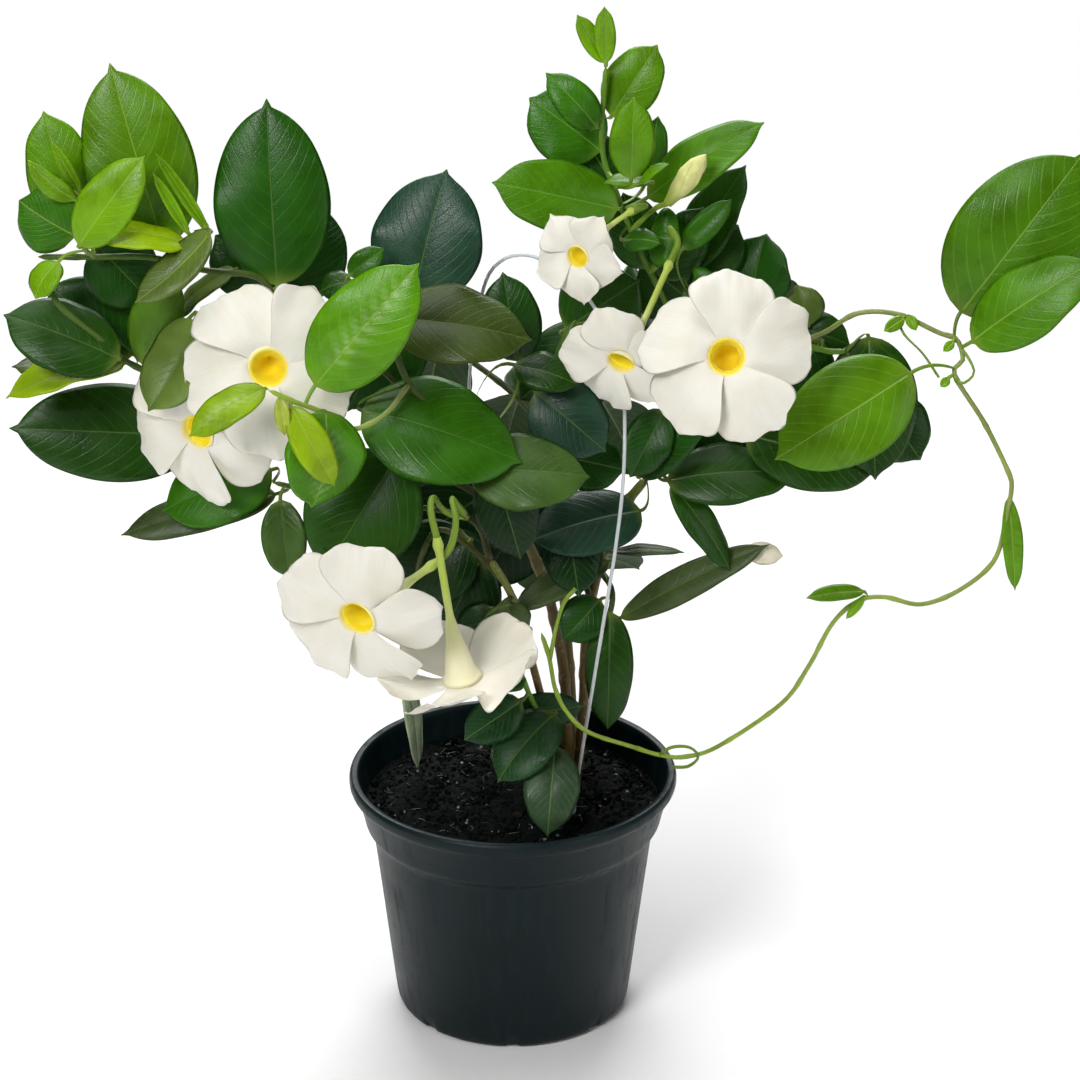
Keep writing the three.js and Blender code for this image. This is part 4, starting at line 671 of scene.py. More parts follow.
# A shoot: its name, the stem it grows on, its radius, its path, its stalks and its leaves. A leaf: its
# base, tip, width, facing, fold in degrees, arch and tone. Every length is in mm.
mature_skin = leaf_skin("leathery_leaf_cuticle", 0.3, "#5f7f3a", 0.42, "#33452a")
MATURE = [
    ("shoot_left_high", "crown_stems", 1.6, [
        (-15, -18, 307), (-54, -18, 351), (-86, -18, 381), (-111, -20, 396), (-123, -22, 410),
        (-148, -24, 414), (-173, -26, 421), (-200, -28, 422), (-227, -28, 422),
    ], [
        (1.3, [(-111, -20, 396), (-116, -30, 383), (-117, -39, 375)]),
    ], [
        ((-113, -20, 405), (-117, 0, 493), 57, "FRONT", 8, 5, "dark_mid"),
        ((-114, 6, 390), (-91, 24, 431), 48, "FRONT", 10, 4, "deep"),
        ((-119, 5, 396), (-145, 8, 421), 36, "FRONT", 14, 4, "deep"),
        ((-201, -12, 423), (-175, -14, 394), 38, "FRONT", 6, 3, "deep"),
        ((-134, -13, 410), (-166, -9, 382), 26, "UP_LEFT", 10, 4, "olive"),
    ]),
    ("shoot_left_low", "crown_stems", 1.6, [
        (2, -8, 276), (-20, -22, 298), (-45, -26, 311), (-84, -20, 319), (-124, -14, 332),
        (-158, -16, 349), (-186, -24, 366), (-198, -36, 383), (-215, -42, 401), (-222, -40, 413),
    ], [
        (1.3, [(-129, -16, 336), (-141, -28, 338)]),
    ], [
        ((-185, -12, 366), (-226, -8, 401), 42, "FRONT", 6, 4, "deep"),
        ((-189, -40, 374), (-245, -32, 394), 40, "FRONT_UP", 8, 3, "dark"),
        ((-179, -22, 364), (-164, -22, 414), 27, "FRONT", 6, 3, "moss"),
        ((-152, -37, 393), (-175, -51, 351), 38, "FRONT_LEFT", 16, -4, "olive"),
        ((-188, -30, 368), (-245, -41, 354), 34, "UP", 18, 5, "yellow"),
        ((-204, -14, 358), (-245, -16, 361), 26, "UP", 6, 3, "brownish"),
        ((-155, 0, 318), (-249, -12, 327), 50, "FRONT", 8, 5, "dark"),
    ]),
    ("shoot_centre_left", "crown_stems", 1.75, [
        (2, -8, 276), (-9, -36, 320), (-29, -40, 343), (-49, -40, 361), (-57, -36, 388), (-52, -18, 397),
    ], [], [
        ((-72, -44, 349), (6, -53, 325), 57, "FRONT_UP", 8, 6, "mid"),
        ((-59, -40, 395), (11, -44, 385), 44, "FRONT_UP", 10, 5, "olive_brown"),
        ((-48, -6, 391), (-31, 14, 453), 56, "FRONT_UP", 10, 4, "teal"),
        ((-53, 1, 390), (-81, -13, 336), 50, "FRONT", 6, 3, "deep"),
        ((-78, -20, 410), (-61, -18, 423), 14, "FRONT", 16, 2, "mid"),
        ((-77, -14, 405), (-93, -14, 399), 16, "FRONT_UP", 10, 2, "dark"),
        ((4, 0, 358), (-4, 8, 402), 30, "FRONT", 8, 4, "deep"),
        ((2, -21, 364), (33, -28, 356), 22, "FRONT_UP", 8, 3, "dark"),
        ((-8, -47, 321), (5, -53, 274), 32, "FRONT", 8, 3, "black_green"),
    ]),
    ("shoot_left_under", "crown_stems", 1.45, [
        (-10, -44, 270), (-20, -40, 290), (-55, -38, 297), (-84, -36, 300), (-117, -36, 308),
    ], [
        (1.6, [(-20, -42, 291), (-31, -62, 303), (-37, -72, 315), (-38, -78, 310), (-35, -80, 296)]),
        (1.6, [
            (-20, -42, 291), (-25, -66, 308), (-28, -74, 315), (-26, -80, 306), (-29, -78, 291),
            (-36, -78, 283),
        ]),
    ], [
        ((-119, -15, 306), (-174, -19, 285), 42, "FRONT_UP", 8, 4, "mid"),
        ((-118, -8, 290), (-196, -14, 270), 24, "FRONT_UP", 8, 4, "greyish"),
        ((-113, -42, 301), (-109, -50, 262), 26, "FRONT", 30, 3, "olive_green"),
        ((-55, -46, 326), (-92, -60, 269), 58, "FRONT", 8, 5, "dark"),
    ]),
    ("shoot_centre", "crown_stems", 1.75, [
        (41, 14, 222), (30, 4, 260), (24, 0, 284), (20, -10, 315), (18, -10, 341), (24, -6, 366),
        (32, -4, 381),
    ], [], [
        ((-20, -51, 319), (39, -49, 316), 42, "FRONT_UP", 8, 5, "olive_green"),
        ((12, -16, 348), (47, -26, 320), 38, "FRONT", 8, 4, "teal"),
        ((27, -9, 283), (34, -27, 242), 32, "FRONT", 8, 3, "black_green"),
        ((24, -1, 308), (57, -6, 302), 30, "FRONT", 8, 3, "deep"),
        ((17, 26, 290), (-17, 21, 224), 50, "FRONT", 6, 3, "black_green"),
        ((-3, 20, 286), (-57, 7, 253), 50, "FRONT", 6, 3, "black_green"),
        ((27, 13, 370), (64, 13, 396), 44, "FRONT", 6, 3, "dark"),
        ((44, 16, 369), (4, 0, 337), 36, "FRONT", 6, 3, "deep"),
    ]),
    ("shoot_right_inner", "crown_stems", 1.8, [
        (68, 8, 292), (70, 6, 298), (74, 2, 315), (78, 0, 337), (84, 0, 369), (86, 2, 395),
    ], [], [
        ((65, -1, 278), (9, -26, 272), 38, "FRONT_UP", 8, 5, "teal"),
        ((84, -1, 417), (108, 3, 441), 14, "FRONT", 16, 2, "mid"),
        ((78, -7, 297), (144, -6, 301), 35, "FRONT_UP", 8, 5, "dark"),
        ((80, -8, 295), (110, -15, 251), 18, "FRONT_RIGHT", 8, 4, "dark"),
        ((64, -8, 300), (101, -20, 343), 24, "FRONT_UP", 10, 3, "deep"),
        ((76, -10, 336), (59, -18, 303), 26, "FRONT", 20, 3, "deep"),
        ((89, 10, 371), (64, 0, 337), 40, "FRONT", 6, 3, "black_green"),
        ((95, 14, 321), (125, 4, 303), 40, "FRONT", 6, 3, "deep"),
    ]),
    ("shoot_upper_right", "shoot_right_inner", 1.55, [
        (86, 2, 394), (95, 14, 385), (109, 18, 381), (126, 16, 378), (140, 18, 372),
    ], [], [
        ((87, 22, 398), (116, 30, 450), 30, "FRONT_LEFT", 20, 3, "dark"),
        ((92, 26, 394), (113, 33, 418), 30, "FRONT", 12, 3, "dark"),
        ((120, 23, 378), (127, 31, 414), 42, "FRONT_LEFT", 16, 3, "deep"),
        ((148, 16, 371), (142, 20, 391), 22, "FRONT", 14, 3, "olive"),
        ((142, 22, 369), (169, 15, 361), 22, "FRONT", 8, 3, "dark"),
        ((89, 25, 381), (64, 25, 401), 40, "FRONT", 6, 3, "dark"),
        ((93, 10, 389), (104, 4, 398), 26, "FRONT", 10, 3, "mid"),
    ]),
    ("shoot_low", "crown_stems", 1.55, [
        (45, 14, 241), (51, 2, 233), (50, -4, 223), (45, -6, 214),
    ], [], [
        ((50, -8, 225), (49, -20, 164), 25, "FRONT", 8, 5, "dark"),
        ((56, -1, 219), (130, -11, 264), 20, "FRONT_UP", 10, 4, "greyish"),
        ((49, -1, 250), (0, -21, 231), 20, "FRONT_UP", 24, 4, "greyish"),
        ((45, -6, 231), (26, -16, 213), 24, "FRONT", 8, 3, "deep"),
        ((51, -4, 257), (87, -10, 259), 11, "UP", 6, 2, "greyish"),
    ]),
    ("shoot_low_front", "crown_stems", 1.2, [
        (1, -34, 245), (-3, -46, 247), (-8, -48, 245), (-13, -47, 240),
    ], [], [
        ((-7, -34, 239), (-22, -35, 216), 28, "FRONT", 8, 3, "black_green"),
        ((-3, -37, 243), (4, -34, 222), 20, "FRONT_UP", 10, 3, "greyish"),
    ]),
    ("shoot_low_left", "crown_stems", 1.45, [
        (-3, -38, 254), (-18, -34, 270), (-35, -32, 281), (-45, -30, 264), (-52, -14, 224), (-55, 2, 194),
    ], [], [
        ((-56, 6, 189), (-50, 22, 120), 11, "FRONT_RIGHT", 12, 3, "strap"),
        ((-15, -24, 261), (-36, -27, 219), 40, "FRONT", 8, 3, "black_green"),
        ((-20, -26, 273), (-60, -26, 246), 44, "FRONT", 8, 3, "black_green"),
        ((-37, -18, 273), (-21, -11, 234), 40, "FRONT", 8, 3, "black_green"),
    ]),
    ("shoot_back_left", "crown_stems", 1.6, [
        (28, 46, 287), (4, 70, 310), (-22, 86, 326), (-48, 96, 339), (-69, 100, 343),
    ], [], [
        ((-22, 90, 327), (-38, 120, 368), 44, "BACK_UP", 8, 5, "dark"),
        ((-48, 100, 340), (-85, 116, 365), 44, "BACK_UP", 8, 5, "dark"),
        ((-69, 104, 343), (-92, 130, 304), 44, "BACK", 8, 5, "dark"),
        ((-38, 98, 330), (-50, 120, 268), 44, "BACK", 8, 5, "dark"),
        ((4, 70, 313), (-7, 102, 258), 44, "BACK", 8, 5, "dark"),
        ((4, 74, 311), (25, 110, 334), 44, "BACK_UP", 8, 5, "dark"),
    ]),
    ("shoot_back_right", "crown_stems", 1.6, [
        (27, 45, 276), (46, 74, 309), (66, 90, 330), (93, 100, 349), (113, 104, 359),
    ], [], [
        ((67, 94, 331), (62, 124, 367), 44, "BACK_UP", 8, 5, "dark"),
        ((93, 104, 350), (114, 120, 381), 44, "BACK_UP", 8, 5, "dark"),
        ((114, 106, 358), (152, 120, 331), 44, "BACK", 8, 5, "dark"),
        ((93, 104, 345), (111, 130, 287), 44, "BACK", 8, 5, "dark"),
        ((46, 77, 308), (68, 110, 249), 44, "BACK", 8, 5, "dark"),
        ((67, 92, 329), (25, 120, 291), 40, "BACK", 8, 5, "dark"),
    ]),
    ("shoot_back_low", "crown_stems", 1.45, [
        (26, 40, 233), (24, 60, 229), (20, 84, 237), (17, 100, 247),
    ], [], [
        ((25, 62, 223), (68, 100, 201), 42, "BACK_UP", 8, 5, "dark"),
        ((23, 66, 227), (-18, 104, 205), 42, "BACK_UP", 8, 5, "dark"),
        ((18, 106, 244), (4, 130, 275), 42, "BACK_UP", 8, 5, "dark"),
        ((18, 102, 246), (41, 132, 263), 42, "BACK_UP", 8, 5, "dark"),
        ((20, 84, 237), (14, 120, 174), 42, "BACK", 8, 5, "dark"),
    ]),
]
for name, on, radius, stem, stalks, leaves in MATURE:
    grow(name, stems_of[on], radius, stem, stalks, leaves, mature_skin, "#3f3d22", "#4d6a24")


# ---- Leafy tops ---------------------------------------------------------------------------------
# Shoots of this season on the stronger side stems: full-grown but thinner leaves, fresh mid green
# with a soft gloss, on green stems.

fresh_skin = leaf_skin("fresh_leaf_cuticle", 0.28, "#7fa54a", 0.42, "#4f7030")
FRESH = [
    ("shoot_top", "shoot_right_inner", 1.4, [
        (84, 0, 369), (75, 8, 389), (63, 6, 414), (54, 2, 438), (46, 2, 459), (44, 2, 475), (45, 2, 492),
        (46, 2, 508),
    ], [
        (1.6, [(70, 7, 401), (79, 2, 417), (77, -8, 430), (81, -18, 426), (77, -30, 420)]),
        (1.7, [(57, 3, 433), (65, -14, 443), (59, -24, 445)]),
        (1.3, [(59, 4, 426), (70, -6, 439), (77, -12, 444)]),
    ], [
        ((46, 2, 510), (32, 4, 533), 11, "FRONT", 16, -2, "young"),
        ((46, 2, 510), (45, 0, 538), 11, "FRONT", 16, -2, "young"),
        ((49, 6, 482), (71, 12, 516), 28, "FRONT", 10, 3, "bright"),
        ((42, 0, 478), (17, 2, 505), 20, "FRONT", 14, 8, "mid"),
        ((44, 8, 464), (9, 14, 489), 38, "FRONT", 6, 3, "mid"),
        ((52, -6, 439), (-9, -14, 455), 36, "FRONT", 8, 4, "mid_bright"),
        ((58, -20, 459), (59, -18, 499), 23, "FRONT", 12, 3, "bright"),
        ((50, 12, 445), (35, 20, 469), 26, "FRONT", 6, 3, "deep"),
        ((66, 16, 446), (72, 20, 478), 16, "FRONT", 6, 3, "mid"),
        ((67, 6, 441), (123, 6, 479), 28, "FRONT_UP", 10, 4, "mid_bright"),
        ((68, 13, 402), (55, 17, 440), 28, "FRONT", 6, 3, "dark_mid"),
        ((75, 17, 395), (95, 19, 432), 26, "FRONT", 6, 3, "deep"),
        ((62, -24, 458), (76, -26, 468), 12, "UP", 10, 2, "bright"),
        ((67, -14, 455), (45, -18, 456), 14, "UP", 10, 2, "bright"),
        ((55, -6, 423), (73, -14, 424), 14, "FRONT_UP", 10, 2, "mid"),
        ((68, 3, 422), (83, -3, 422), 30, "FRONT", 10, 2, "mid"),
    ]),
    ("shoot_right", "shoot_upper_right", 1.6, [
        (119, 17, 380), (131, 4, 373), (143, 2, 367), (156, 4, 362), (166, 0, 363),
    ], [
        (1.4, [(138, 2, 370), (127, -4, 365), (115, -10, 367)]),
    ], [
        ((177, 5, 369), (181, -17, 301), 46, "FRONT", 6, 4, "dark"),
        ((183, 8, 334), (205, 0, 305), 34, "FRONT", 8, 3, "deep"),
        ((117, -5, 321), (184, -11, 304), 40, "FRONT", 6, 4, "dark"),
        ((154, 11, 365), (124, 4, 320), 40, "FRONT", 6, 3, "deep"),
    ]),
    ("shoot_pot", "crown_stems", 1.4, [
        (22, -6, 146), (14, -24, 175), (8, -30, 192), (4, -34, 206),
    ], [], [
        ((5, -35, 188), (-24, -45, 171), 24, "FRONT", 10, 3, "worn"),
        ((-4, -26, 175), (37, -18, 177), 20, "FRONT", 10, 3, "worn"),
        ((22, -33, 180), (-7, -53, 151), 33, "FRONT_LEFT", 12, 5, "worn"),
        ((22, -40, 165), (18, -64, 126), 29, "FRONT", 8, 8, "mottled"),
        ((4, -34, 206), (-21, -31, 213), 24, "FRONT_UP", 10, 3, "deep"),
        ((7, -33, 199), (-14, -41, 202), 16, "FRONT_UP", 10, 3, "deep"),
    ]),
]
for name, on, radius, stem, stalks, leaves in FRESH:
    grow(name, stems_of[on], radius, stem, stalks, leaves, fresh_skin, "#4c6a22", "#6d9a2c")


# ---- Young growth -------------------------------------------------------------------------------
# The newest leaves, thin and bright yellow-green, and the long bare vine that searches for a hold,
# loops out to the right and falls back to the pot.

young_skin = leaf_skin("young_leaf_cuticle", 0.28, "#a4c150", 0.42, "#7c9a30")
YOUNG = [
    ("young_left_top", "shoot_left_high", 1.2, [
        (-199, -28, 422), (-204, -36, 430), (-207, -30, 444), (-207, -24, 460),
    ], [], [
        ((-205, -43, 433), (-172, -41, 477), 28, "FRONT", 14, 4, "young"),
        ((-208, -19, 432), (-223, -11, 490), 34, "FRONT", 6, 4, "bright"),
        ((-208, -32, 434), (-235, -26, 450), 34, "FRONT_LEFT", 8, 3, "mid"),
        ((-205, -30, 456), (-217, -34, 482), 9, "FRONT", 40, 2, "young"),
        ((-207, -32, 452), (-228, -38, 474), 14, "FRONT_LEFT", 30, 3, "young"),
        ((-216, -38, 423), (-227, -46, 407), 18, "FRONT_LEFT", 10, 3, "young"),
    ]),
    ("young_left_mid", "shoot_left_high", 1.2, [
        (-153, -25, 416), (-154, -28, 424), (-155, -29, 430), (-151, -29, 435),
    ], [], [
        ((-167, -21, 425), (-191, -5, 512), 54, "FRONT", 8, 6, "bright"),
        ((-155, -33, 430), (-200, -36, 436), 28, "UP", 6, 4, "yellow"),
        ((-145, -29, 436), (-168, -33, 476), 10, "FRONT", 50, -3, "young"),
        ((-154, -33, 436), (-169, -39, 468), 9, "FRONT", 50, -3, "young"),
        ((-143, -40, 438), (-179, -52, 407), 22, "FRONT_LEFT", 14, -4, "olive"),
    ]),
    ("shoot_left_front", "shoot_centre_left", 1.3, [
        (-49, -40, 361), (-60, -56, 352), (-76, -66, 348), (-90, -76, 361), (-102, -86, 370),
        (-113, -92, 378),
    ], [], [
        ((-92, -78, 375), (-42, -74, 435), 43, "FRONT", 10, 5, "bright_gloss"),
        ((-115, -90, 378), (-151, -96, 356), 20, "FRONT_UP", 16, 4, "young_gloss"),
        ((-103, -88, 368), (-83, -92, 329), 20, "FRONT", 24, 4, "yellow"),
        ((-88, -77, 362), (-95, -85, 315), 43, "FRONT_RIGHT", 12, 8, "mid_gloss"),
        ((-108, -88, 373), (-106, -92, 355), 8, "FRONT", 20, 2, "pale"),
    ]),
    ("vine_right", "shoot_right", 1.2, [
        (144, 2, 367), (155, -4, 375), (170, -8, 386), (189, -12, 387), (209, -16, 379), (218, -18, 376),
        (221, -22, 367), (217, -24, 360), (232, -30, 337), (244, -36, 314), (246, -38, 306),
        (244, -40, 292), (239, -42, 269), (223, -42, 253), (204, -40, 244), (186, -38, 247),
        (173, -36, 244), (161, -32, 230), (150, -26, 203), (137, -20, 179), (106, -12, 151),
        (89, -10, 144), (76, -12, 146), (61, -18, 154), (39, -38, 172), (28, -50, 189), (22, -54, 204),
        (19, -54, 221), (15, -52, 234),
    ], [
        (1.0, [(19, -54, 221), (22, -54, 236), (26, -52, 250), (32, -50, 257)]),
        (0.8, [
            (77, -12, 147), (82, -15, 152), (91, -15, 152), (96, -12, 145), (91, -9, 138), (83, -8, 137),
        ]),
        (0.6, [(189, -12, 387), (192, -18, 379), (201, -24, 371), (209, -28, 360)]),
        (0.7, [(220, -20, 371), (224, -26, 368), (226, -28, 362), (221, -28, 357), (217, -25, 358)]),
    ], [
        ((220, -12, 388), (277, -3, 467), 63, "FRONT", 8, 8, "mid_bright"),
        ((225, -23, 377), (281, -33, 422), 37, "FRONT_LEFT", 8, 5, "mid_bright"),
        ((194, -40, 367), (128, -54, 327), 50, "FRONT", 6, 6, "bright"),
        ((245, -38, 300), (250, -42, 252), 12, "FRONT", 30, 2, "bright"),
        ((175, -38, 250), (146, -46, 250), 10, "FRONT_UP", 20, 2, "bright"),
        ((227, -22, 376), (241, -24, 373), 7, "FRONT", 10, 1, "young"),
        ((192, -15, 386), (182, -20, 381), 7, "FRONT", 14, 1, "young"),
        ((194, -14, 387), (198, -19, 381), 6, "FRONT", 20, 1, "young"),
        ((176, -37, 247), (167, -38, 235), 5, "FRONT", 20, 1, "young"),
        ((216, -21, 376), (211, -24, 372), 5, "FRONT", 20, 1, "young"),
        ((214, -26, 359), (210, -28, 355), 5, "FRONT", 20, 1, "young"),
    ]),
]
for name, on, radius, stem, stalks, leaves in YOUNG:
    grow(name, stems_of[on], radius, stem, stalks, leaves, young_skin, "#8a9458", "#9cba38")


# ---- Blooms -------------------------------------------------------------------------------------
# A funnel of one piece: a green-yellow tube widens to a yellow throat and opens into five broad
# ivory lobes, each lying over the next like the blades of a fan.

LOBES, LOBE_WIDTH, LOBE_BLUNTNESS, LOBE_WEDGE, TUBE_SIDES = 5, 1.0, 1.2, 39, 28
BLOOMS = [
    ("bloom_left_upper", (-116, -60, 377), (-0.1, -0.85, 0.35), 43, 48, 0, 0.72,
        [(-116.9, -37.9, 376), (-117, -45, 374)]),
    ("bloom_left_lower", (-154, -37, 334), (-0.4, -0.8, -0.1), 40, 48, 0.1, 0.66,
        [(-139.9, -26.9, 337.8), (-148, -33, 336)]),
    ("bloom_top", (32, -34, 424), (-0.35, -0.9, 0.1), 25, 54, 0.15, 0.44,
        [(59.8, -22.7, 444.7), (46, -28, 436)]),
    ("bloom_centre", (53, -46, 374), (-0.25, -0.85, -0.3), 31, 24, 0.1, 0.62,
        [(77.4, -28.7, 420.6), (65, -46, 398)]),
    ("bloom_right", (102, -84, 392), (-0.1, -0.85, 0.4), 41, 12, 0, 0.7,
        [(116.3, -9.3, 366.8), (110, -30, 374)]),
    ("bloom_low_left", (-74, -106, 265), (-0.3, -0.9, -0.2), 41, 76, 0.05, 0.7,
        [(-35, -78, 284.1), (-54, -86, 273)]),
    ("bloom_hanging", (-23, -82, 221), (0.2, 0.1, -1), 41, 1, -0.12, 0.7,
        [(-35.3, -79.8, 297.5), (-29, -86, 257)]),
]
IVORY, CREAM, YOLK, AMBER = (pigment(c) for c in ("#ece9de", "#f1ede0", "#ffe81e", "#f8dc12"))


def lobe_loft(throat, axis, outward, reach, seed, cup, widest):
    """A lobe as one closed skin. Its root is a fifth of a funnel, at radius r and angle 39 s degrees,
    lining the mouth of the tube. Further out it is a blade half(t) wide, turned like a propeller by
    0.2 half s, with a corner drawn out at its end, a waved margin and soft folds along it."""
    sideways = np.cross(axis, outward)
    rows, columns = 40, 31
    draw = np.random.default_rng(int(seed * 1e6))
    corner, ruffle, lean, sag, roll = draw.uniform((0.2, 0, 0.04, 0.0, -0.4), (0.6, 6.3, 0.16, 0.06, 1.0))
    t = np.linspace(0, 0.998, rows) ** 0.9
    x = np.linspace(-1, 1, columns)
    s = np.concatenate([x, x[-2:0:-1]])
    upper = np.concatenate([np.ones(columns), -np.ones(columns - 2)])[None]
    T, S = t[:, None], s[None]
    half = half_width(T, reach * LOBE_WIDTH, widest, LOBE_BLUNTNESS)
    across = half * S / (0.5 * reach * LOBE_WIDTH)
    point = (0.09 + 0.5 * (0.72 - widest)) * np.exp(-((across - corner) / 0.22) ** 2) * smooth(T, 0.7, 1)
    ragged = 0.016 * np.sin(9 * across + ruffle) + 0.008 * np.sin(23 * across + 2 * ruffle)
    end = T * (1 - 0.09 * across * np.sign(corner) * T ** 3) + point + ragged * smooth(T, 0.6, 1)
    blade_out = reach * (0.1 + 0.87 * end)
    blade_side = half * S + reach * lean * T ** 2
    funnel = reach * (0.165 + 0.56 * T)
    wedge = np.radians(LOBE_WEDGE) * S
    mix = smooth(T, 0.1, 0.42)
    out = funnel * np.cos(wedge) * (1 - mix) + blade_out * mix
    side = funnel * np.sin(wedge) * (1 - mix) + blade_side * mix
    rise_blade = reach * (0.3 * np.sqrt(T) - 0.34 * T ** 2 - 0.16)
    rise_funnel = reach * (-0.2 + 1.35 * T)
    rise = rise_funnel * (1 - smooth(T, 0.02, 0.17)) + rise_blade * smooth(T, 0.02, 0.17)
    rise = rise + 0.2 * half * S * smooth(T, 0.08, 0.4)
    wave = 0.03 * reach * np.sin(7 * T + 2.2 * S + ruffle) * np.abs(S) ** 3 * T
    folds = 0.016 * reach * np.sin(6.5 * across + 1.5 * ruffle) * smooth(T, 0.25, 0.6)
    rim_roll = 1.3 * np.clip(T - 0.6, 0, 1) ** 2 + 0.2 * np.clip(np.abs(S) - 0.5, 0, 1) ** 2 * T
    rolled = reach * (sag * T ** 2 + 0.3 * roll * rim_roll)
    beyond = np.maximum(out - 0.2 * reach, 0)
    out, rise = out - beyond * (1 - math.cos(cup)), rise * math.cos(cup) + beyond * math.sin(cup)
    edge = np.sqrt(np.clip(1 - S ** 2, 0, 1))
    up = rise + wave + folds - rolled + upper * 0.22 * edge
    grid = throat + outward * out[..., None] + sideways * side[..., None] + axis * up[..., None]
    far = np.hypot(out, side) / reach
    glow = 1 - smooth(far, 0.18, 0.25)
    deep = 1 - smooth(far, 0.15, 0.19)
    tone = IVORY + (YOLK - IVORY) * glow[..., None]
    tone = tone + (AMBER - tone) * deep[..., None] * 0.1
    tone = np.where(upper[..., None] > 0, tone, CREAM + (tone - CREAM) * 0.25)
    uv = np.stack([np.broadcast_to(T, far.shape), np.broadcast_to(across, far.shape)], -1)
    return {"grid": grid, "tone": tone, "uv": uv, "under": (upper < 0) * 1.0, "seed": seed}


def tube_loft(tube, throat, axis, reach):
    """The tube behind the lobes as one closed skin: outside, its radius falls from 0.21 of the reach at
    the mouth to the neck as (1 - left / 0.9)^1.15, with a lip that flares; inside is a funnel that
    follows it, 0.93 of its radius, closed at 0.4 of the reach."""
    mouth = throat - 0.075 * reach * axis
    stops = tube if np.linalg.norm(throat - tube[-1]) > 0.4 * reach else tube[:1]
    straight = min(0.32 * reach, 0.5 * np.linalg.norm(throat - stops[-1]))
    back = unit(0.7 * unit(stops[-1] - throat) - axis)
    run = spline([*stops, throat + straight * back, mouth], 1.3)
    left = np.concatenate([[0], np.cumsum(np.linalg.norm(np.diff(run, axis=0), axis=1))])
    left = (left[-1] - left) / reach
    neck = min(1.9, 0.05 * reach)
    core = neck + (0.21 * reach - neck) * np.clip(1 - left / min(0.9, left[0]), 0, 1) ** 1.15
    bell = core + 0.04 * reach * np.exp(-left / 0.03) + 0.8 * np.exp(-((left - left[0] + 0.1) / 0.06) ** 2)
    rings = rod(run, 1.0, TUBE_SIDES) - run[:, None]
    outside = run[:, None] + rings * bell[:, None, None]
    depth = left / min(0.4, 0.8 * left[0])
    lined = core * 0.93 * np.sqrt(np.clip(1 - depth ** 4, 0.001, 1))
    inside = (run[:, None] + rings * lined[:, None, None])[depth < 1][::-1]
    green, straw = pigment("#b2c652"), pigment("#fdf8d4")
    tone_out = green + (straw - green) * smooth(-left, -1.3, -0.1)[:, None, None]
    tone_in = YOLK + (AMBER - YOLK) * smooth(depth[depth < 1][::-1], 0.3, 1)[:, None, None]
    grid = np.concatenate([outside, inside])
    return {"grid": grid, "tone": np.concatenate([tone_out, tone_in]), "seed": 0.5}


# Fresh petal tissue: matt, with a faint velvet, and a little light comes through it. Soft ribs run
# along each lobe, and its ivory is creamier in patches of about 17 mm.
petal, tree, shader = finish("ivory_petal_tissue")
tone = add(tree, "Attribute", attribute_name="tone").outputs["Color"]
uv = add(tree, "UVMap", uv_map="blade").outputs[0]
place = add(tree, "TexCoord").outputs["Object"]
ribs_at = add(tree, "Mapping", {"Vector": uv, "Scale": (1.2, 14, 1)})
ribs = add(tree, "TexNoise", {"Vector": ribs_at, "Scale": 1.6, "Detail": 4, "Roughness": 0.6})
blush = add(tree, "TexNoise", {"Vector": place, "Scale": 60, "Detail": 2})
tint = add(tree, "MapRange", {0: blush, 1: 0.4, 2: 0.7, 3: 0.0, 4: 0.35})
warm = add(tree, "Mix", {0: tint, 6: tone, 7: linear("#f3eede")}, data_type="RGBA", blend_type="MULTIPLY")
line = add(tree, "MapRange", {0: ribs, 1: 0.35, 2: 0.65, 3: 0.96, 4: 1.0})
colour = add(tree, "VectorMath", {0: warm.outputs[2], "Scale": line}, operation="SCALE")
tree.links.new(colour.outputs[0], shader.inputs["Base Color"])
shader.inputs["Roughness"].default_value = 0.58
shader.inputs["Sheen Weight"].default_value = 0.12
shader.inputs["Subsurface Weight"].default_value = 0.25
shader.inputs["Subsurface Radius"].default_value = (0.003, 0.0025, 0.0018)
bump = add(tree, "Bump", {"Strength": 0.15, "Distance": 0.0006, "Height": ribs})
tree.links.new(bump.outputs[0], shader.inputs["Normal"])

for name, throat, faces, reach, spin, cup, widest, tube in BLOOMS:
    throat, axis = np.array(throat, float), unit(np.array(faces, float))
    side = np.cross([0, 0, 1.0], axis)
    side = np.array([1.0, 0, 0]) if np.linalg.norm(side) < 0.2 else unit(side)
    draw = np.random.default_rng(sum(map(ord, name)))
    lofts = [tube_loft([np.array(p, float) for p in tube], throat, axis, reach)]
    for i in range(LOBES):
        turn = math.radians(spin + 360 / LOBES * i)
        outward = side * math.cos(turn) + np.cross(axis, side) * math.sin(turn)
        lofts.append(lobe_loft(throat, axis, outward, reach, draw.random(), cup, widest))
    piece = lofted(name + "_corolla", lofts, petal)
    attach(piece, "root")
    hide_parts(name)


# ---- Bud and spent petal ------------------------------------------------------------------------
# One rolled bud, its cream petals twisted round each other to a point, and one fallen petal, caught
# behind the tip of a low leaf.

BUD_BASE, BUD_TIP, BUD_RADIUS = (76, -11.1, 443.3), (94, -14, 469), 6
BUD_SIDES, BUD_EDGES = 60, 5
PETAL_BASE, PETAL_TIP, PETAL_WIDTH = (118, -8, 259), (137, -8, 256), 12

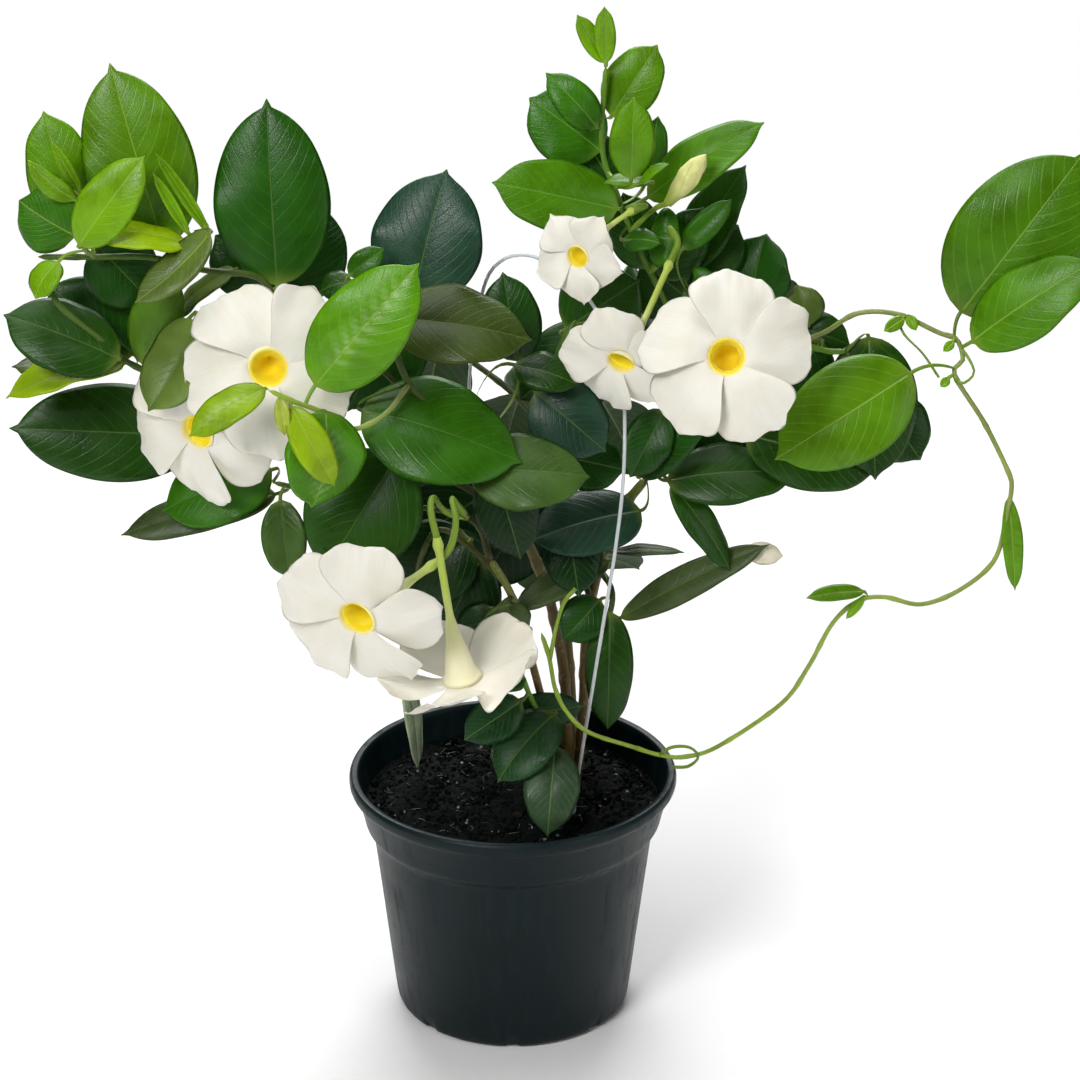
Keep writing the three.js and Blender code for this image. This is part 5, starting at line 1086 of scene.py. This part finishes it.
# Closed or spent petal tissue: smoother and less clear than an open petal, mottled at about 4.5 mm.
cream_petal, tree, shader = finish("cream_petal_tissue")
tone = add(tree, "Attribute", attribute_name="tone").outputs["Color"]
place = add(tree, "TexCoord").outputs["Object"]
mottle = add(tree, "TexNoise", {"Vector": place, "Scale": 220, "Detail": 4})
shade = add(tree, "MapRange", {0: mottle, 1: 0.3, 2: 0.7, 3: 0.9, 4: 1.06})
colour = add(tree, "VectorMath", {0: tone, "Scale": shade}, operation="SCALE")
tree.links.new(colour.outputs[0], shader.inputs["Base Color"])
shader.inputs["Roughness"].default_value = 0.5
shader.inputs["Subsurface Weight"].default_value = 0.15
shader.inputs["Subsurface Radius"].default_value = (0.003, 0.0025, 0.0015)

# The bud: radius over its length, with five petal edges wound a third of a turn, each a small step.
bud_base, bud_tip = np.array(BUD_BASE, float), np.array(BUD_TIP, float)
share = np.linspace(0, 1, 46)
swell_at, swell_of = [0, 0.12, 0.3, 0.55, 0.8, 0.93, 1], [0.38, 0.5, 0.8, 1.0, 0.76, 0.36, 0.06]
swell = np.interp(share, swell_at, swell_of) * BUD_RADIUS
swell[1:-1] = (swell[:-2] + swell[1:-1] + swell[2:]) / 3
angle = np.linspace(0, 2 * np.pi, BUD_SIDES, endpoint=False)
wound = (angle[None] * BUD_EDGES / (2 * np.pi) + 1.6 * share[:, None]) % 1
step = 1 - 0.16 * wound * smooth(share, 0.1, 0.5)[:, None]
bud_run = bud_base + (bud_tip - bud_base) * share[:, None]
_, bud_side, bud_up = path_frames(bud_run)
ring = bud_side[:, None] * np.cos(angle)[None, :, None] + bud_up[:, None] * np.sin(angle)[None, :, None]
bud_grid = bud_run[:, None] + ring * (swell[:, None] * step)[..., None]
green, cream = pigment("#8fa02c"), pigment("#dcdc8e")
bud_tone = green + (cream - green) * smooth(share, 0.0, 0.45)[:, None, None]
# Painted shade: each petal is darker, by up to 0.22, in the recess just under the edge of the next one.
bud_tone = bud_tone * (1 - 0.22 * smooth(wound, 0.8, 1.0))[..., None]
bud = lofted("bud_rolled", [{"grid": bud_grid, "tone": bud_tone}], cream_petal)
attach(bud, "root")
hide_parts("bud_cream")

petal_base = np.array(PETAL_BASE, float)
spent = leaf_loft(petal_base, PETAL_BASE, PETAL_TIP, PETAL_WIDTH, "FRONT", 10, 1.5, "pale", 0.3)
spent["grid"], spent["uv"] = spent["grid"][PETIOLE_ROWS + 1:], spent["uv"][PETIOLE_ROWS + 1:]
spent["tone"] = pigment("#e4dcc2")
spent["vein"], spent["under"] = 0.0, 0.0
spent_petal = lofted("petal_fallen", [spent], cream_petal)
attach(spent_petal, "root")
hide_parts("petal_spent")


# ---- Floor, light and camera --------------------------------------------------------------------
# A pale studio sweep under a dome that is brighter overhead, a soft light at the front left, a weaker
# one on the right, one overhead and one for the sweep, and the camera a little above the plant.

FLOOR_HALF, BACKDROP_SIDES = 4, 96
LENS_LENGTH, CAMERA_PLACE, CAMERA_DIP = 121.9, (0.0144, -1.6965, 0.996), 23.41

floor_mesh = bpy.data.meshes.new("floor")
floor_corners = [(x * FLOOR_HALF, y * FLOOR_HALF, 0) for x, y in ((-1, -1), (1, -1), (1, 1), (-1, 1))]
floor_mesh.from_pydata(floor_corners, [], [(0, 1, 2, 3)])
sweep, tree, shader = finish("matte_white_sweep")
shader.inputs["Base Color"].default_value = linear("#fbfbfb")
shader.inputs["Roughness"].default_value = 0.9
floor_mesh.materials.append(sweep)
floor = bpy.data.objects.new("floor", floor_mesh)
bpy.context.collection.objects.link(floor)

# A seamless white backdrop, a flat ring with a coved wall, that only the camera sees: it is clear near
# the pot and plain white from 1.3 m out, and it neither lights nor shades the plant.
ring_out = np.array([0.5, 1.4, 3.4, 3.8, 4.0, 4.0])[:, None]
ring_up = np.array([0.001, 0.001, 0.001, 0.15, 0.6, 5.0])[:, None]
lap = np.linspace(0, 2 * np.pi, BACKDROP_SIDES, endpoint=False)[None]
cove = np.stack([ring_out * np.cos(lap), ring_out * np.sin(lap), ring_up + 0 * lap], -1)
place_in = np.arange(len(ring_out) * BACKDROP_SIDES).reshape(-1, BACKDROP_SIDES)
ahead = np.roll(place_in, -1, 1)
quads = np.stack([place_in[:-1], ahead[:-1], ahead[1:], place_in[1:]], -1).reshape(-1, 4)
backdrop_mesh = bpy.data.meshes.new("backdrop")
backdrop_mesh.from_pydata(cove.reshape(-1, 3).tolist(), [], quads.tolist())
paper, tree, shader = finish("white_backdrop_paper")
shader.inputs["Base Color"].default_value = linear("#000000")
shader.inputs["Specular IOR Level"].default_value = 0
shader.inputs["Emission Color"].default_value = linear("#ffffff")
shader.inputs["Emission Strength"].default_value = 1
from_pot = add(tree, "VectorMath", {0: add(tree, "TexCoord").outputs["Object"]}, operation="LENGTH")
far_out = from_pot.outputs["Value"]
solid = add(tree, "MapRange", {0: far_out, 1: 0.55, 2: 1.3}, interpolation_type="SMOOTHSTEP")
tree.links.new(solid.outputs[0], shader.inputs["Alpha"])
backdrop_mesh.materials.append(paper)
backdrop = bpy.data.objects.new("backdrop", backdrop_mesh)
bpy.context.collection.objects.link(backdrop)
backdrop.visible_diffuse = backdrop.visible_glossy = False
backdrop.visible_transmission = backdrop.visible_shadow = False

world = bpy.data.worlds.new("studio")
bpy.context.scene.world = world
world.use_nodes = True
tree = world.node_tree
height = add(tree, "SeparateXYZ", {0: add(tree, "TexCoord").outputs["Generated"]}).outputs[2]
dome = add(tree, "MapRange", {0: height, 1: 0.1, 2: 0.8, 3: 0.28, 4: 1.25}, interpolation_type="SMOOTHSTEP")
tree.links.new(dome.outputs[0], tree.nodes["Background"].inputs[1])


def softbox(name, place, aim, size, power):
    """A square area light at a place, turned so that its -Z axis points at the aim."""
    lamp = bpy.data.lights.new(name, "AREA")
    lamp.size, lamp.energy = size, power
    holder = bpy.data.objects.new(name, lamp)
    holder.location = place
    away = unit(np.array(place, float) - np.array(aim, float))
    holder.rotation_euler = (math.acos(away[2]), 0, math.atan2(away[1], away[0]) + math.pi / 2)
    bpy.context.collection.objects.link(holder)


softbox("key", (-0.8, -1.5, 1.5), (0, 0, 0.3), 0.7, 26)
softbox("fill", (1.5, -1.1, 0.8), (0, 0, 0.25), 0.8, 6)
softbox("overhead", (-0.2, 0.0, 1.9), (0, 0, 0), 0.9, 13)
softbox("sweep", (0.0, 2.8, 2.4), (0, 2.4, 0), 2.4, 130)

lens = bpy.data.cameras.new("camera")
lens.sensor_width, lens.lens = 36, LENS_LENGTH
lens.clip_end = 50
camera = bpy.data.objects.new("camera", lens)
camera.location = CAMERA_PLACE
camera.rotation_euler = (math.radians(90 - CAMERA_DIP), 0, 0)
bpy.context.collection.objects.link(camera)
bpy.context.scene.camera = camera
bpy.context.scene.view_settings.view_transform = "Standard"
